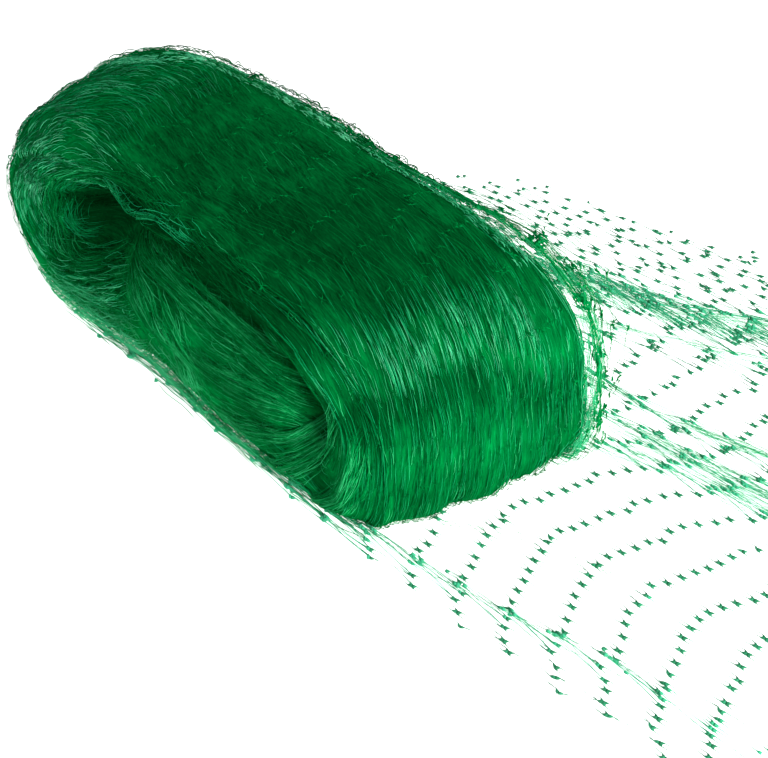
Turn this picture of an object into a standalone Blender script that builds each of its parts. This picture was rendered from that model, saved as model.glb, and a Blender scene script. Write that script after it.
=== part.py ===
"""A part-used roll of bird netting: the wound roll and the loose end that lies beside it.

The net is a soft plastic mesh. It was gathered to about a hand's width and wound into a flattened,
elongated roll. The roll lies on its long side, and its free end spreads over the surface.

Frame, in metres, +Z up: the origin is the middle of the flat patch that the roll rests on, +X runs
along the roll towards the free end, and the spiral end of the roll faces -Y.
"""

import math

import bmesh
import bpy
import numpy as np
from mathutils import Vector

MM = 0.001

# ---------------------------------------------------------------- driving dimensions, millimetres
RING_POINTS = 76        # points around each ring of the winding
RINGS_PER_STATION = 4   # rings between two named stations
GAP = 0.3               # clearance between the roll and the loose end

# The winding is a stack of rings from the slit in its near end to the slit in its far end.
# Columns: place across the roll (Y), left and right ends (X), lowest and highest level (Z).
STATIONS = {
    "near slit":     (-64, -93, 66, 34, 37),
    "near inner":    (-70, -103, 77, 25, 48),
    "near face":     (-71, -113, 90, 12, 62),
    "near rim":      (-67, -122, 101, 1, 74),
    "near shoulder": (-58, -134, 108, -3, 80),
    "near body":     (-43, -143, 113, -3, 82),
    "middle":        (-14, -151, 117, -3, 85),
    "far body":      (10, -156, 117, -3, 83),
    "far shoulder":  (25, -155, 110, -2, 73.5),
    "far rim":       (34, -147, 98, 8, 59),
    "far face":      (33, -132, 86, 18, 50),
    "far slit":      (27, -110, 70, 32, 38),
}

# Corner rounding of a ring, along X, as a share of the ring's height.
CORNERS = {"top right": 1.10, "top left": 0.80, "low left": 0.75, "low right": 0.12}
CORNER_POWER = 2.3      # 2 is an ellipse, more is squarer
WAIST = 0.45            # height of a ring's widest level, as a share of its height

# The slit and the rings around it are arched: the slit's level at places along X.
SLIT_LEVEL, RIM_TOP = 35.5, 74.0        # levels before the arch, the upper one stays where it is
SLIT_LINE = (
    (-115, 38),
    (-95, 44),
    (-64, 54),
    (-31, 63),
    (0, 68),
    (25, 66),
    (48, 59),
    (66, 48),
    (76, 36),
    (95, 33),
)

# Pockets pressed into the near end: middle in X and Z, reach along and across the pocket, how far
# it leans, in degrees, and depth.
POCKETS = {
    "left eye":     {"x": -67, "z": 50, "reach_x": 33, "reach_z": 16, "lean": 27, "depth": 25},
    "right pocket": {"x": 72, "z": 32, "reach_x": 15, "reach_z": 10, "lean": -80, "depth": 13},
}
CREASE_DEPTH = 8.0      # the crease along the slit, between the outer turns and the inner bundle
CREASE_REACH = 5.0
CREASE_STARTS, CREASE_ENDS = -45, 74
FLAP_DEPTH = 3.0        # how far the lower half of the near end swells forward
NEAR_FOOT = (           # the near foot's line: X, shift along Y
    (-120, 0),
    (-90, 0.5),
    (-60, 3),
    (-30, 4.5),
    (-5, 2),
    (20, -1),
    (60, -2.5),
    (90, -2),
    (110, 0),
)
NEAR_FOOT_TOP = 40      # and it no longer counts above this level
FOOT_SPREAD = 5.0       # how far the foot of the right end spreads on its far half
FAR_EDGE = (            # the far top edge rises and falls: X, shift along Z
    (-150, -2),
    (-115, -1.5),
    (-90, 1.5),
    (-60, 3),
    (-25, 3),
    (0, 0),
    (25, -2.5),
    (70, -2.5),
    (120, 0),
)
BUNDLE_TURNS = 2.5      # fold bundles between the slit and the rim, one spiral
BUNDLE_HEIGHT = 2.0
FACE_FULL = 0.9         # folds have their full height up to this place, from the slit (0) to the rim (1)
FACE_END = 1.6          # and none from this one on
RIB_COUNT = 5           # soft ribs across the roll's outer face
RIB_HEIGHT = 0.9
RIB_SWAY = 0.35         # how far a rib wanders, as a share of the rib spacing

# The loose end: a lattice of long narrow meshes whose junctions stand in rows across X.
MESH_ROW = 20.0         # distance between junction rows of the real net
JUNCTION_STEP = 5.0     # distance between junctions along a row of the real net, as it lies
COARSEN = 1.7           # the solid is cut at this many times the real spacing
STRAND = 1.8            # width of the solid's strands
SHEET = 1.2             # thickness of the solid's strands

# The first junction row follows the foot of the roll, and the rows further out come to share one
# wavy shape, measured from ROW_START. Columns: place across the net (Y), shift along X.
ROW_SHAPE = (
    (-80, 18),
    (-66, 9),
    (-50, 4),
    (-22, -7),
    (0, 0),
    (16, 2),
    (34, 14),
    (46, 16),
    (70, 6),
    (200, 5),
)
ROW_START = 118
FOOT_CORNER = 99        # the first row starts no further in than this at the roll's round corner
NET_ROWS = 4            # rows right of the roll
NET_ROWS_BEHIND = 5     # rows behind the roll
NET_FRONT = -77
NET_BEHIND = 42         # the strip behind the roll starts here
NET_BACK = ((-70, 132), (-30, 150), (80, 172), (300, 192))   # X, Y

# Gathers, where the net is pulled into a loose rope: line of X, Y points, reach and height.
GATHER_START = 15       # a gather rises to its height over this length
GATHERS = {
    "front gather": {"line": ((108, -71), (140, -63), (200, -53), (258, -60)), "reach": 5, "height": 1.6},
    "middle gather": {"line": ((124, 36), (155, 42), (200, 30), (258, 12)), "reach": 7, "height": 2.4},
    "back gather": {"line": ((70, 100), (110, 104), (180, 92), (258, 80)), "reach": 6, "height": 2.0},
}

NET_GREEN = (0.004, 0.16, 0.045, 1.0)


# ---------------------------------------------------------------------------------- small helpers
def smooth_columns(rows, samples):
    """Read a table of rows with a Catmull-Rom curve, evenly along the table."""
    table = np.array(rows, float)
    padded = np.vstack([2 * table[0] - table[1], table, 2 * table[-1] - table[-2]])
    place = np.linspace(0, len(table) - 1, samples)
    cell = np.minimum(place.astype(int), len(table) - 2)
    u = (place - cell)[:, None]
    before, start, end, after = (padded[cell + k] for k in range(4))
    return 0.5 * (2 * start + (end - before) * u
                  + (2 * before - 5 * start + 4 * end - after) * u ** 2
                  + (3 * start - before - 3 * end + after) * u ** 3)


def green_plastic():
    """The net's plastic, one material for both solids."""
    material = bpy.data.materials.new("net_green")
    material.use_nodes = True
    shader = material.node_tree.nodes["Principled BSDF"]
    shader.inputs["Base Color"].default_value = NET_GREEN
    shader.inputs["Roughness"].default_value = 0.38
    shader.inputs["Metallic"].default_value = 0.0
    return material


def add_solid(name, mesh_data, material):
    """Turn a bmesh in millimetres into one closed object in metres."""
    bmesh.ops.scale(mesh_data, vec=Vector((MM, MM, MM)), verts=mesh_data.verts)
    bmesh.ops.recalc_face_normals(mesh_data, faces=mesh_data.faces)
    mesh = bpy.data.meshes.new(name)
    mesh_data.to_mesh(mesh)
    mesh_data.free()
    mesh.materials.append(material)
    solid = bpy.data.objects.new(name, mesh)
    bpy.context.scene.collection.objects.link(solid)
    return solid


# ------------------------------------------------------------------------------------ wound roll
def ring_outline(left, right, low, high, count):
    """Points evenly spaced around one ring, from its right end over the top."""
    height = high - low
    waist = low + WAIST * height
    half_turn = np.linspace(0, math.pi / 2, 40)
    across = np.cos(half_turn) ** (2 / CORNER_POWER)
    upward = np.sin(half_turn) ** (2 / CORNER_POWER)
    reach = {name: share * height for name, share in CORNERS.items()}
    quarters = (
        (right - reach["top right"] * (1 - across), waist + (high - waist) * upward),
        (left + reach["top left"] * (1 - across[::-1]), waist + (high - waist) * upward[::-1]),
        (left + reach["low left"] * (1 - across), waist - (waist - low) * upward),
        (right - reach["low right"] * (1 - across[::-1]), waist - (waist - low) * upward[::-1]),
    )
    x = np.concatenate([quarter[0] for quarter in quarters])
    z = np.concatenate([quarter[1] for quarter in quarters])
    length = np.concatenate([[0], np.cumsum(np.hypot(np.diff(x), np.diff(z)))])
    place = np.linspace(0, length[-1], count + 1)[:-1]
    return np.interp(place, length, x), np.interp(place, length, z)


def winding_rings():
    """All rings as an array [ring, point, xyz], with each ring's place on the near end."""
    stations = list(STATIONS)
    samples = (len(stations) - 1) * RINGS_PER_STATION + 1
    table = smooth_columns([STATIONS[name] for name in stations], samples)
    rings = np.zeros((samples, RING_POINTS, 3))
    for ring, (y, left, right, low, high) in zip(rings, table):
        ring[:, 0], ring[:, 2] = ring_outline(left, right, low, high, RING_POINTS)
        ring[:, 1] = y
    rim = stations.index("near rim") * RINGS_PER_STATION
    face_place = np.arange(samples) / rim
    return rings, face_place


def near_end_share(face_place):
    """How much of the folds each ring has: one on the near face, zero past its rim."""
    past = np.clip(face_place - FACE_FULL, 0, FACE_END - FACE_FULL) / (FACE_END - FACE_FULL)
    return (0.5 + 0.5 * np.cos(math.pi * past))[:, None]


def slit_level(x):
    table = np.array(SLIT_LINE, float)
    return np.interp(x, table[:, 0], table[:, 1])


def arch_slit(rings, face_place):
    """Move the near rings up and down, so that the slit follows its line."""
    x, z = rings[:, :, 0], rings[:, :, 2]
    target = slit_level(x)
    above = target + (z - SLIT_LEVEL) * (RIM_TOP - target) / (RIM_TOP - SLIT_LEVEL)
    below = z * target / SLIT_LEVEL
    moved = np.where(z > RIM_TOP, z, np.where(z > SLIT_LEVEL, above, below))
    rings[:, :, 2] += near_end_share(face_place) * (moved - z)


def press_near_end(rings, face_place):
    """Pockets, the crease and the spiral bundles of the near end, all along Y."""
    x, z = rings[:, :, 0], rings[:, :, 2]
    push = np.zeros_like(x)
    for pocket in POCKETS.values():
        lean = math.radians(pocket["lean"])
        right, up = x - pocket["x"], z - pocket["z"]
        along = (right * math.cos(lean) + up * math.sin(lean)) / pocket["reach_x"]
        across = (up * math.cos(lean) - right * math.sin(lean)) / pocket["reach_z"]
        push += pocket["depth"] * np.exp(-along ** 2 - across ** 2)
    inside = np.clip((x - CREASE_STARTS) / 15, 0, 1) * np.clip((CREASE_ENDS - x) / 10, 0, 1)
    push += CREASE_DEPTH * inside * np.exp(-((z - slit_level(x)) / CREASE_REACH) ** 2)
    push -= FLAP_DEPTH * np.exp(-(x / 60) ** 2 - ((z - 32) / 20) ** 2)
    foot = np.array(NEAR_FOOT, float)
    push += np.interp(x, foot[:, 0], foot[:, 1]) * np.clip(2 - 2 * z / NEAR_FOOT_TOP, 0, 1)
    place = face_place[:, None]
    turn = np.linspace(0, 1, RING_POINTS, endpoint=False)[None, :]
    wave = np.cos(2 * math.pi * (place * BUNDLE_TURNS + turn))
    push -= BUNDLE_HEIGHT * np.minimum(place * BUNDLE_TURNS, 1) * wave
    rings[:, :, 1] += near_end_share(face_place) * push


def raise_ribs(rings):
    """Soft ribs that run around the roll, a few across its width, and none on its two ends."""
    y = rings[:, :, 1]
    span = (y - y.min()) / (y.max() - y.min())
    turn = np.linspace(0, 1, RING_POINTS, endpoint=False)[None, :]
    wave = np.cos(2 * math.pi * (RIB_COUNT * span + RIB_SWAY * np.sin(2 * math.pi * turn)))
    outward = rings - rings.mean(axis=1, keepdims=True)
    outward[:, :, 1] = 0
    outward /= np.maximum(np.linalg.norm(outward, axis=2, keepdims=True), 1)
    inside_ends = np.clip(1.6 * np.sin(math.pi * span), 0, 1)
    rings += outward * (RIB_HEIGHT * wave * inside_ends)[:, :, None]


def sway_far_edge(rings):
    """The far top edge is no straight line: it rises and falls by a few millimetres."""
    x, y, z = rings[:, :, 0], rings[:, :, 1], rings[:, :, 2]
    line = np.array(FAR_EDGE, float)
    share = np.clip((y + 5) / 25, 0, 1) * np.clip((z - 30) / 35, 0, 1)
    rings[:, :, 2] += share * np.interp(x, line[:, 0], line[:, 1])


def spread_foot(rings):
    """At the right end the net runs out under the roll and drags its far corner with it."""
    x, y, z = rings[:, :, 0], rings[:, :, 1], rings[:, :, 2]
    share = np.clip((x - 60) / 50, 0, 1) * np.clip((y + 20) / 35, 0, 1) * np.clip((40 - z) / 30, 0, 1)
    rings[:, :, 0] += FOOT_SPREAD * share * share * (3 - 2 * share)


def make_roll(material):
    rings, face_place = winding_rings()
    raise_ribs(rings)
    sway_far_edge(rings)
    spread_foot(rings)
    arch_slit(rings, face_place)
    press_near_end(rings, face_place)
    rings[:, :, 2] = np.maximum(rings[:, :, 2], 0)   # the flat patch that it rests on
    shape = bmesh.new()
    rows = [[shape.verts.new(point) for point in ring] for ring in rings]
    for row, following in zip(rows, rows[1:]):
        for k in range(RING_POINTS):
            n = (k + 1) % RING_POINTS
            shape.faces.new((row[k], row[n], following[n], following[k]))
    for row in (rows[0], rows[-1]):                  # the slit at each end closes top to bottom
        half = RING_POINTS // 2
        shape.faces.new((row[0], row[1], row[-1]))
        for k in range(1, half - 1):
            shape.faces.new((row[k], row[k + 1], row[-k - 1], row[-k]))
        shape.faces.new((row[half - 1], row[half], row[half + 1]))
    roll = add_solid("net_roll", shape, material)
    roll.data.shade_smooth()
    return roll_foot(rings)


# ------------------------------------------------------------------------------------- loose end
def roll_foot(rings):
    """The foot of the roll's right end, just above the sheet: places along Y and along X."""
    level = SHEET + GAP
    foot = []
    for ring in rings:
        low_right = ring[RING_POINTS // 2:]
        low_right = low_right[low_right[:, 0] > 0]
        below = np.flatnonzero(low_right[:, 2] < level)
        if len(below):
            edge = low_right[below[-1]:below[-1] + 2]
            foot.append([np.interp(level, edge[:, 2], edge[:, axis]) for axis in (1, 0)])
    foot = np.array(sorted(foot))
    foot[:, 1] = np.maximum(foot[:, 1], FOOT_CORNER)
    return foot


def row_place(row, y, foot):
    """Where a junction row stands along X at a place across the net."""
    table = np.array(ROW_SHAPE, float)
    reach = JUNCTION_STEP * COARSEN / 4              # half way to the next junction
    at_roll = np.interp((y - reach, y, y + reach), foot[:, 0], foot[:, 1]).max() + GAP
    further_out = ROW_START + np.interp(y, table[:, 0], table[:, 1])
    share = 1 - math.exp(-max(row, 0))
    return row * MESH_ROW * COARSEN + at_roll + share * (further_out - at_roll)


def gather_height(x, y):
    """Rise of the sheet where the net is gathered."""
    rise = 0.0
    for gather in GATHERS.values():
        line = np.array(gather["line"], float)
        grown = min(max((x - line[0, 0]) / GATHER_START, 0), 1)
        away = (y - np.interp(x, line[:, 0], line[:, 1])) / gather["reach"]
        rise = max(rise, gather["height"] * grown * math.exp(-away ** 2))
    return rise


def lattice_cells(foot):
    """Corner lists of the long narrow meshes, at the coarse spacing, with half meshes at the ends."""
    step = JUNCTION_STEP * COARSEN / 2
    back = np.array(NET_BACK, float)

    def corner(row, k):
        return round(row_place(row, k * step, foot), 4), round(k * step, 4)

    def covered(row, k):
        x, y = corner(row, k)
        first = -NET_ROWS_BEHIND if y > NET_BEHIND else 0
        return first <= row <= NET_ROWS and NET_FRONT <= y <= np.interp(x, back[:, 0], back[:, 1])

    cells = []
    for row in range(-NET_ROWS_BEHIND - 1, NET_ROWS + 1):
        for k in range(int(NET_FRONT / step) - 1, int(back[-1, 1] / step) + 2):
            if (row + k) % 2:
                continue
            places = ((row, k), (row + 1, k + 1), (row + 2, k), (row + 1, k - 1))
            kept = [corner(*place) for place in places if covered(*place)]
            both_sides = covered(*places[1]) and covered(*places[3])
            if len(kept) >= 3 and both_sides:
                cells.append(kept)
    return cells


def make_loose_net(material, foot):
    plan = bmesh.new()
    known = {}
    for cell in lattice_cells(foot):
        corners = []
        for point in cell:
            if point not in known:
                known[point] = plan.verts.new((point[0], point[1], 0))
            corners.append(known[point])
        plan.faces.new(corners)
    bmesh.ops.recalc_face_normals(plan, faces=plan.faces)
    ribbons = bmesh.ops.inset_individual(plan, faces=plan.faces[:], thickness=STRAND / 2)["faces"]
    holes = [face for face in plan.faces if face not in set(ribbons)]
    bmesh.ops.delete(plan, geom=holes, context="FACES")
    top = bmesh.ops.extrude_face_region(plan, geom=plan.faces[:])["geom"]
    for item in top:
        if isinstance(item, bmesh.types.BMVert):
            item.co.z = SHEET + gather_height(item.co.x, item.co.y)
    add_solid("loose_net", plan, material)


# ------------------------------------------------------------------------------------------ build
def main():
    for leftover in list(bpy.data.objects):
        bpy.data.objects.remove(leftover, do_unlink=True)
    material = green_plastic()
    foot = make_roll(material)
    make_loose_net(material, foot)


main()
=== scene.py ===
# %% [markdown]
# # A roll of bird netting
# Bird netting is a very light plastic mesh. This roll is one length of it, gathered sideways until
# the meshes close and the strands lie like hair, and then wound flat. Nothing holds it but its own
# friction, so the winding slumps, its near end shows the spiral of turns, and the outermost turn
# and the free end come loose and open into meshes again.
# The tutorial builds it in that order: the winding's surface, the mass of strands on it, the loose
# outer turn, and the free end on the floor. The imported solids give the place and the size.

# %% The fixed frame
import math

import bpy
import numpy as np
from mathutils import Matrix, Vector


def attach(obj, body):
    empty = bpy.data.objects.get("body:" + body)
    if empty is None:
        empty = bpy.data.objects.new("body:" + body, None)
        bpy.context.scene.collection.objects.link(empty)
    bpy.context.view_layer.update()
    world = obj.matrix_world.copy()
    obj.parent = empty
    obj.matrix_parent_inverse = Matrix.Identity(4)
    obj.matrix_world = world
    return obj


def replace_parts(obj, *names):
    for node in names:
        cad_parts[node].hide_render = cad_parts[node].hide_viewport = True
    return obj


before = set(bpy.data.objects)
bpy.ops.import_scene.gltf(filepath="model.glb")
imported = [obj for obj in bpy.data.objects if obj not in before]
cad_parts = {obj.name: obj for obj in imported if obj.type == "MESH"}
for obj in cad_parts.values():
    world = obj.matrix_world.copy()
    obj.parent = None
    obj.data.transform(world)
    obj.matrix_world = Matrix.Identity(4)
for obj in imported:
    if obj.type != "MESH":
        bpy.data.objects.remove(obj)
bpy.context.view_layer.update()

MM = 0.001

# %% [markdown]
# ## Camera, light and floor
# The roll is lit like a small product on a white table: a bright, even surround, one broad light
# low on the right that rakes over the end of the roll, and a weaker one from the left. A low light
# from the side leaves the flat top of the roll darker than its end, which shows the strands best;
# painted shade in the strands' tones darkens the top further.
# The floor is a plain pale sheet, bright enough to lose nearly all its shadow.

# %% Camera
VIEW_AZIMUTH, VIEW_ELEVATION = math.radians(47.3), math.radians(38.0)
CAMERA_PLACE = (0.3745, -0.3156, 0.3569)
FOCAL_LENGTH, SENSOR_WIDTH = 69.5, 36.0


def add_object(name, data):
    holder = bpy.data.objects.new(name, data)
    bpy.context.scene.collection.objects.link(holder)
    return holder


def add_camera():
    camera = bpy.data.cameras.new("camera")
    camera.sensor_width, camera.lens, camera.clip_start = SENSOR_WIDTH, FOCAL_LENGTH, 0.01
    back = Vector((math.sin(VIEW_AZIMUTH) * math.cos(VIEW_ELEVATION),
                   -math.cos(VIEW_AZIMUTH) * math.cos(VIEW_ELEVATION),
                   math.sin(VIEW_ELEVATION)))
    right = Vector((math.cos(VIEW_AZIMUTH), math.sin(VIEW_AZIMUTH), 0))
    axes = Matrix((right, back.cross(right), back)).transposed().to_4x4()
    holder = add_object("camera", camera)
    holder.matrix_world = Matrix.Translation(CAMERA_PLACE) @ axes
    bpy.context.scene.camera = holder
    print("camera at", CAMERA_PLACE, "metres, lens", FOCAL_LENGTH, "mm")


add_camera()


# %% Light
def add_area_light(name, place, target, size, power):
    light = bpy.data.lights.new(name, "AREA")
    light.shape, light.size, light.energy = "SQUARE", size, power
    holder = add_object(name, light)
    holder.location = place
    holder.rotation_euler = (Vector(target) - Vector(place)).to_track_quat("-Z", "Y").to_euler()
    print(name, "light:", power, "W,", size, "m across")


def add_surround(strength):
    world = bpy.data.worlds.new("surround")
    world.use_nodes = True
    background = world.node_tree.nodes["Background"].inputs
    background["Color"].default_value = (1.0, 1.0, 1.0, 1.0)
    background["Strength"].default_value = strength
    bpy.context.scene.world = world


add_surround(0.26)
add_area_light("raking", place=(1.1, -0.25, 0.45), target=(0.10, 0.0, 0.04), size=0.4, power=16)
add_area_light("glint", place=(0.75, 0.55, 0.75), target=(0.10, 0.0, 0.05), size=0.16, power=7)
add_area_light("left fill", place=(-0.7, -0.9, 0.4), target=(-0.05, -0.03, 0.04), size=0.7, power=3)
bpy.context.scene.view_settings.view_transform = "Standard"

# %% Floor
FLOOR_REACH, FLOOR_DROP = 4.0, 0.0002       # metres


def add_floor():
    mesh = bpy.data.meshes.new("floor")
    corners = [(x * FLOOR_REACH, y * FLOOR_REACH, 0) for x, y in ((-1, -1), (1, -1), (1, 1), (-1, 1))]
    mesh.from_pydata(corners, [], [(0, 1, 2, 3)])
    material = bpy.data.materials.new("floor_white")
    material.use_nodes = True
    shader = material.node_tree.nodes["Principled BSDF"].inputs
    shader["Base Color"].default_value = (0.93, 0.93, 0.93, 1.0)
    shader["Roughness"].default_value = 0.9
    shader["Emission Color"].default_value = (1.0, 1.0, 1.0, 1.0)
    shader["Emission Strength"].default_value = 0.9
    mesh.materials.append(material)
    floor = add_object("floor", mesh)
    floor.location.z = -FLOOR_DROP


add_floor()

# %% [markdown]
# ## Small tools
# The same few curves shape everything that follows: a ramp, a soft step, a window that rises and
# falls again, a bell, and a line that is read from a short table. They keep the later steps short.

# %% Ramps, steps, bells and lines
def ramp(value, low, high):
    """From 0 at low to 1 at high."""
    return np.clip((value - low) / (high - low), 0, 1)


def ease(u):
    return u * u * (3 - 2 * u)


def smooth_step(value, low, high):
    return ease(ramp(value, low, high))


def window(value, rise, fall):
    """Rises to 1 over the first range and falls back to 0 over the second."""
    return smooth_step(value, *rise) * (1 - smooth_step(value, *fall))


def bell(value, centre, reach):
    return np.exp(-((value - centre) / reach) ** 2)


def mound(u, v):
    """A bell over two directions at once, each given by its reach."""
    return np.exp(-u ** 2 - v ** 2)


def running_sum(steps):
    """The sum from 0 up to each step."""
    return np.concatenate([[0], np.cumsum(steps)])


def along_line(line, x):
    """The height at x of a line that is given as places (x, height)."""
    table = np.array(line, float)
    return np.interp(x, table[:, 0], table[:, 1])


def unit(vectors, least=1e-9):
    return vectors / np.maximum(np.linalg.norm(vectors, axis=-1, keepdims=True), least)


def keep_above(points, level):
    points[:, :, 2] = np.maximum(points[:, :, 2], level)


def between_cells(grid, i, j, k, n, f, g):
    """Read a grid a share f from row i to row j and a share g from column k to column n."""
    return (grid[i, k] * (1 - f) + grid[j, k] * f) * (1 - g) + (grid[i, n] * (1 - f) + grid[j, n] * f) * g


def soft_noise(u, v, cells_u, cells_v, seed):
    """Smooth noise from -1 to 1 that repeats when u or v grows by 1."""
    values = np.random.default_rng(seed).uniform(-1, 1, (cells_u, cells_v))
    at_u, at_v = np.mod(u, 1) * cells_u, np.mod(v, 1) * cells_v
    i, k = at_u.astype(int) % cells_u, at_v.astype(int) % cells_v
    return between_cells(values, i, (i + 1) % cells_u, k, (k + 1) % cells_v, ease(at_u % 1), ease(at_v % 1))


# %% [markdown]
# ## The surface of the winding
# Every strand of the roll lies on one surface, so the surface comes first, as a function. It takes
# two places: how far across the roll a strand lies, from the slit in the near end over the rim,
# across the roll's width and into the far end, and how far around the turn it has gone. It is
# the same stack of rings that the solid is made of, read from one short table of stations. A strand
# is then a line on that surface, and it follows the pockets and folds without any fitting.

# %% Stations of the winding, in millimetres
# Columns: place across the roll (Y), left and right ends (X), lowest and highest level (Z).
STATIONS = {
    "near slit":     (-64, -93, 66, 34, 37),
    "near inner":    (-70, -103, 77, 25, 48),
    "near face":     (-71, -113, 90, 12, 62),
    "near rim":      (-67, -122, 101, 1, 74),
    "near shoulder": (-58, -134, 108, -3, 80),
    "near body":     (-43, -143, 113, -3, 82),
    "middle":        (-14, -151, 117, -3, 85),
    "far body":      (10, -156, 117, -3, 83),
    "far shoulder":  (25, -155, 110, -2, 73.5),
    "far rim":       (34, -147, 98, 8, 59),
    "far face":      (33, -132, 86, 18, 50),
    "far slit":      (27, -110, 70, 32, 38),
}
TOP_RIGHT, TOP_LEFT, LOW_LEFT, LOW_RIGHT = 1.10, 0.80, 0.75, 0.12       # corners, by the ring's height
CORNER_POWER = 2.3
WAIST = 0.45            # share of the height at which the ends stand out furthest
RINGS = 221             # rings read from the stations
TURN_POINTS = 320       # points around a ring


def smooth_columns(rows, samples):
    """Read a table of rows with a Catmull-Rom curve, evenly along the table."""
    table = np.array(rows, float)
    padded = np.vstack([2 * table[0] - table[1], table, 2 * table[-1] - table[-2]])
    place = np.linspace(0, len(table) - 1, samples)
    cell = np.minimum(place.astype(int), len(table) - 2)
    u = (place - cell)[:, None]
    before, start, end, after = (padded[cell + k] for k in range(4))
    return 0.5 * (2 * start + (end - before) * u
                  + (2 * before - 5 * start + 4 * end - after) * u ** 2
                  + (3 * start - before - 3 * end + after) * u ** 3)


def ring_outline(left, right, low, high, count):
    """Points evenly spaced around one ring, from its right end over the top."""
    height = high - low
    waist = low + WAIST * height
    quarter_turn = np.linspace(0, math.pi / 2, 40)
    across = np.cos(quarter_turn) ** (2 / CORNER_POWER)
    upward = np.sin(quarter_turn) ** (2 / CORNER_POWER)
    x = np.concatenate([right - TOP_RIGHT * height * (1 - across), left + TOP_LEFT * height * (1 - across[::-1]),
                        left + LOW_LEFT * height * (1 - across), right - LOW_RIGHT * height * (1 - across[::-1])])
    over, under = (high - waist) * upward, (waist - low) * upward
    z = np.concatenate([waist + over, waist + over[::-1], waist - under, waist - under[::-1]])
    length = running_sum(np.hypot(np.diff(x), np.diff(z)))
    place = np.linspace(0, length[-1], count + 1)[:-1]
    return np.interp(place, length, x), np.interp(place, length, z)


def stack_rings():
    rings = np.zeros((RINGS, TURN_POINTS, 3))
    for ring, (y, *ends) in zip(rings, smooth_columns(list(STATIONS.values()), RINGS)):
        ring[:, 0], ring[:, 2] = ring_outline(*ends, TURN_POINTS)
        ring[:, 1] = y
    return rings


surface = stack_rings()
print("rings:", RINGS, "points around each:", TURN_POINTS)

# %% [markdown]
# ## Folds in the surface
# Three scales of fold give the winding its form. Pockets are pressed in where the slit of the near
# end opens at its left and right. Bundles of turns spiral from the slit to the rim. Over all of it
# run small clumps, where neighbouring strands cling together like wet hair: rounded ridges with
# sharp valleys, a few millimetres wide and as long as a hand. The clumps come from a smooth noise
# that is stretched along the strands.

# %% Sizes of the pockets, crease, bundles and ribs, in millimetres
SLIT_LEVEL, RIM_TOP = 35.5, 74.0
SLIT_LINE = ((-115, 38), (-95, 44), (-64, 54), (-31, 63), (0, 68), (25, 66), (48, 59), (66, 48), (76, 36), (95, 33))
POCKETS = {     # place in the near face (X, Z), reach along and across the pocket, lean in degrees, depth
    "left eye": (-67, 50, 33, 16, 27, 25),
    "right pocket": (72, 32, 15, 10, -80, 13),
}
CREASE_DEPTH, CREASE_REACH = 8.0, 5.0
CREASE_STARTS, CREASE_ENDS = (-45, -30), (64, 74)
FLAP_DEPTH, FLAP_LEVEL, FLAP_WIDE, FLAP_HIGH = 3.0, 32, 60, 20      # the near end's lower half swells forward
NEAR_FOOT = ((-120, 0), (-90, 0.5), (-60, 3), (-30, 4.5), (-5, 2), (20, -1), (60, -2.5), (90, -2), (110, 0))
NEAR_FOOT_TOP = 40      # the foot line of the near end no longer counts above this level
FOOT_SPREAD = 5.0       # how far the foot of the right end spreads on its far half
FOOT_SWELL, SWELL_MIDDLE, SWELL_REACH = 3.3, -20, 16        # and how far it swells at its middle
FAR_EDGE = ((-150, -2), (-115, -1.5), (-90, 1.5), (-60, 3), (-25, 3), (0, 0), (25, -2.5), (70, -2.5), (120, 0))
BUNDLE_TURNS, BUNDLE_HEIGHT = 2.5, 2.0
FACE_FULL, FACE_END = 0.9, 1.6      # by stations from the slit: the near end's folds, and where they fade out
RIB_COUNT, RIB_HEIGHT, RIB_SWAY = 5, 0.9, 0.35

turns = np.linspace(0, 1, TURN_POINTS, endpoint=False)[None, :]
face_place = np.linspace(0, len(STATIONS) - 1, RINGS)[:, None] / list(STATIONS).index("near rim")
near_end_share = 0.5 + 0.5 * np.cos(math.pi * ramp(face_place, FACE_FULL, FACE_END))


# %% Pressing the folds in
def raise_ribs(rings):
    span = (rings[:, :, 1] - rings[:, :, 1].min()) / np.ptp(rings[:, :, 1])
    wave = np.cos(2 * math.pi * (RIB_COUNT * span + RIB_SWAY * np.sin(2 * math.pi * turns)))
    outward = rings - rings.mean(axis=1, keepdims=True)
    outward[:, :, 1] = 0
    inside_ends = np.clip(1.6 * np.sin(math.pi * span), 0, 1)
    rings += unit(outward, least=1) * (RIB_HEIGHT * wave * inside_ends)[:, :, None]


def sway_far_edge(rings):
    """The far top edge is no straight line: it rises and falls by a few millimetres."""
    x, y, z = np.moveaxis(rings, 2, 0)
    z += ramp(y, -5, 20) * ramp(z, 30, 65) * along_line(FAR_EDGE, x)


def spread_foot(rings):
    """At the right end the net runs out under the roll and drags its far corner with it."""
    x, y, z = np.moveaxis(rings, 2, 0)
    x += FOOT_SPREAD * ease(ramp(x, 60, 110) * ramp(y, -20, 15) * ramp(40 - z, 0, 30))
    x += FOOT_SWELL * (ramp(x, 60, 100) * bell(y, SWELL_MIDDLE, SWELL_REACH) * ramp(36 - z, 0, 26))


def arch_slit(rings):
    """Move the middle of the near end up to the slit line and let the rings around it follow."""
    x, _, z = np.moveaxis(rings, 2, 0)
    target = along_line(SLIT_LINE, x)
    above = target + (z - SLIT_LEVEL) * (RIM_TOP - target) / (RIM_TOP - SLIT_LEVEL)
    below = z * target / SLIT_LEVEL
    moved = np.where(z > RIM_TOP, z, np.where(z > SLIT_LEVEL, above, below))
    z += near_end_share * (moved - z)


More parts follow.
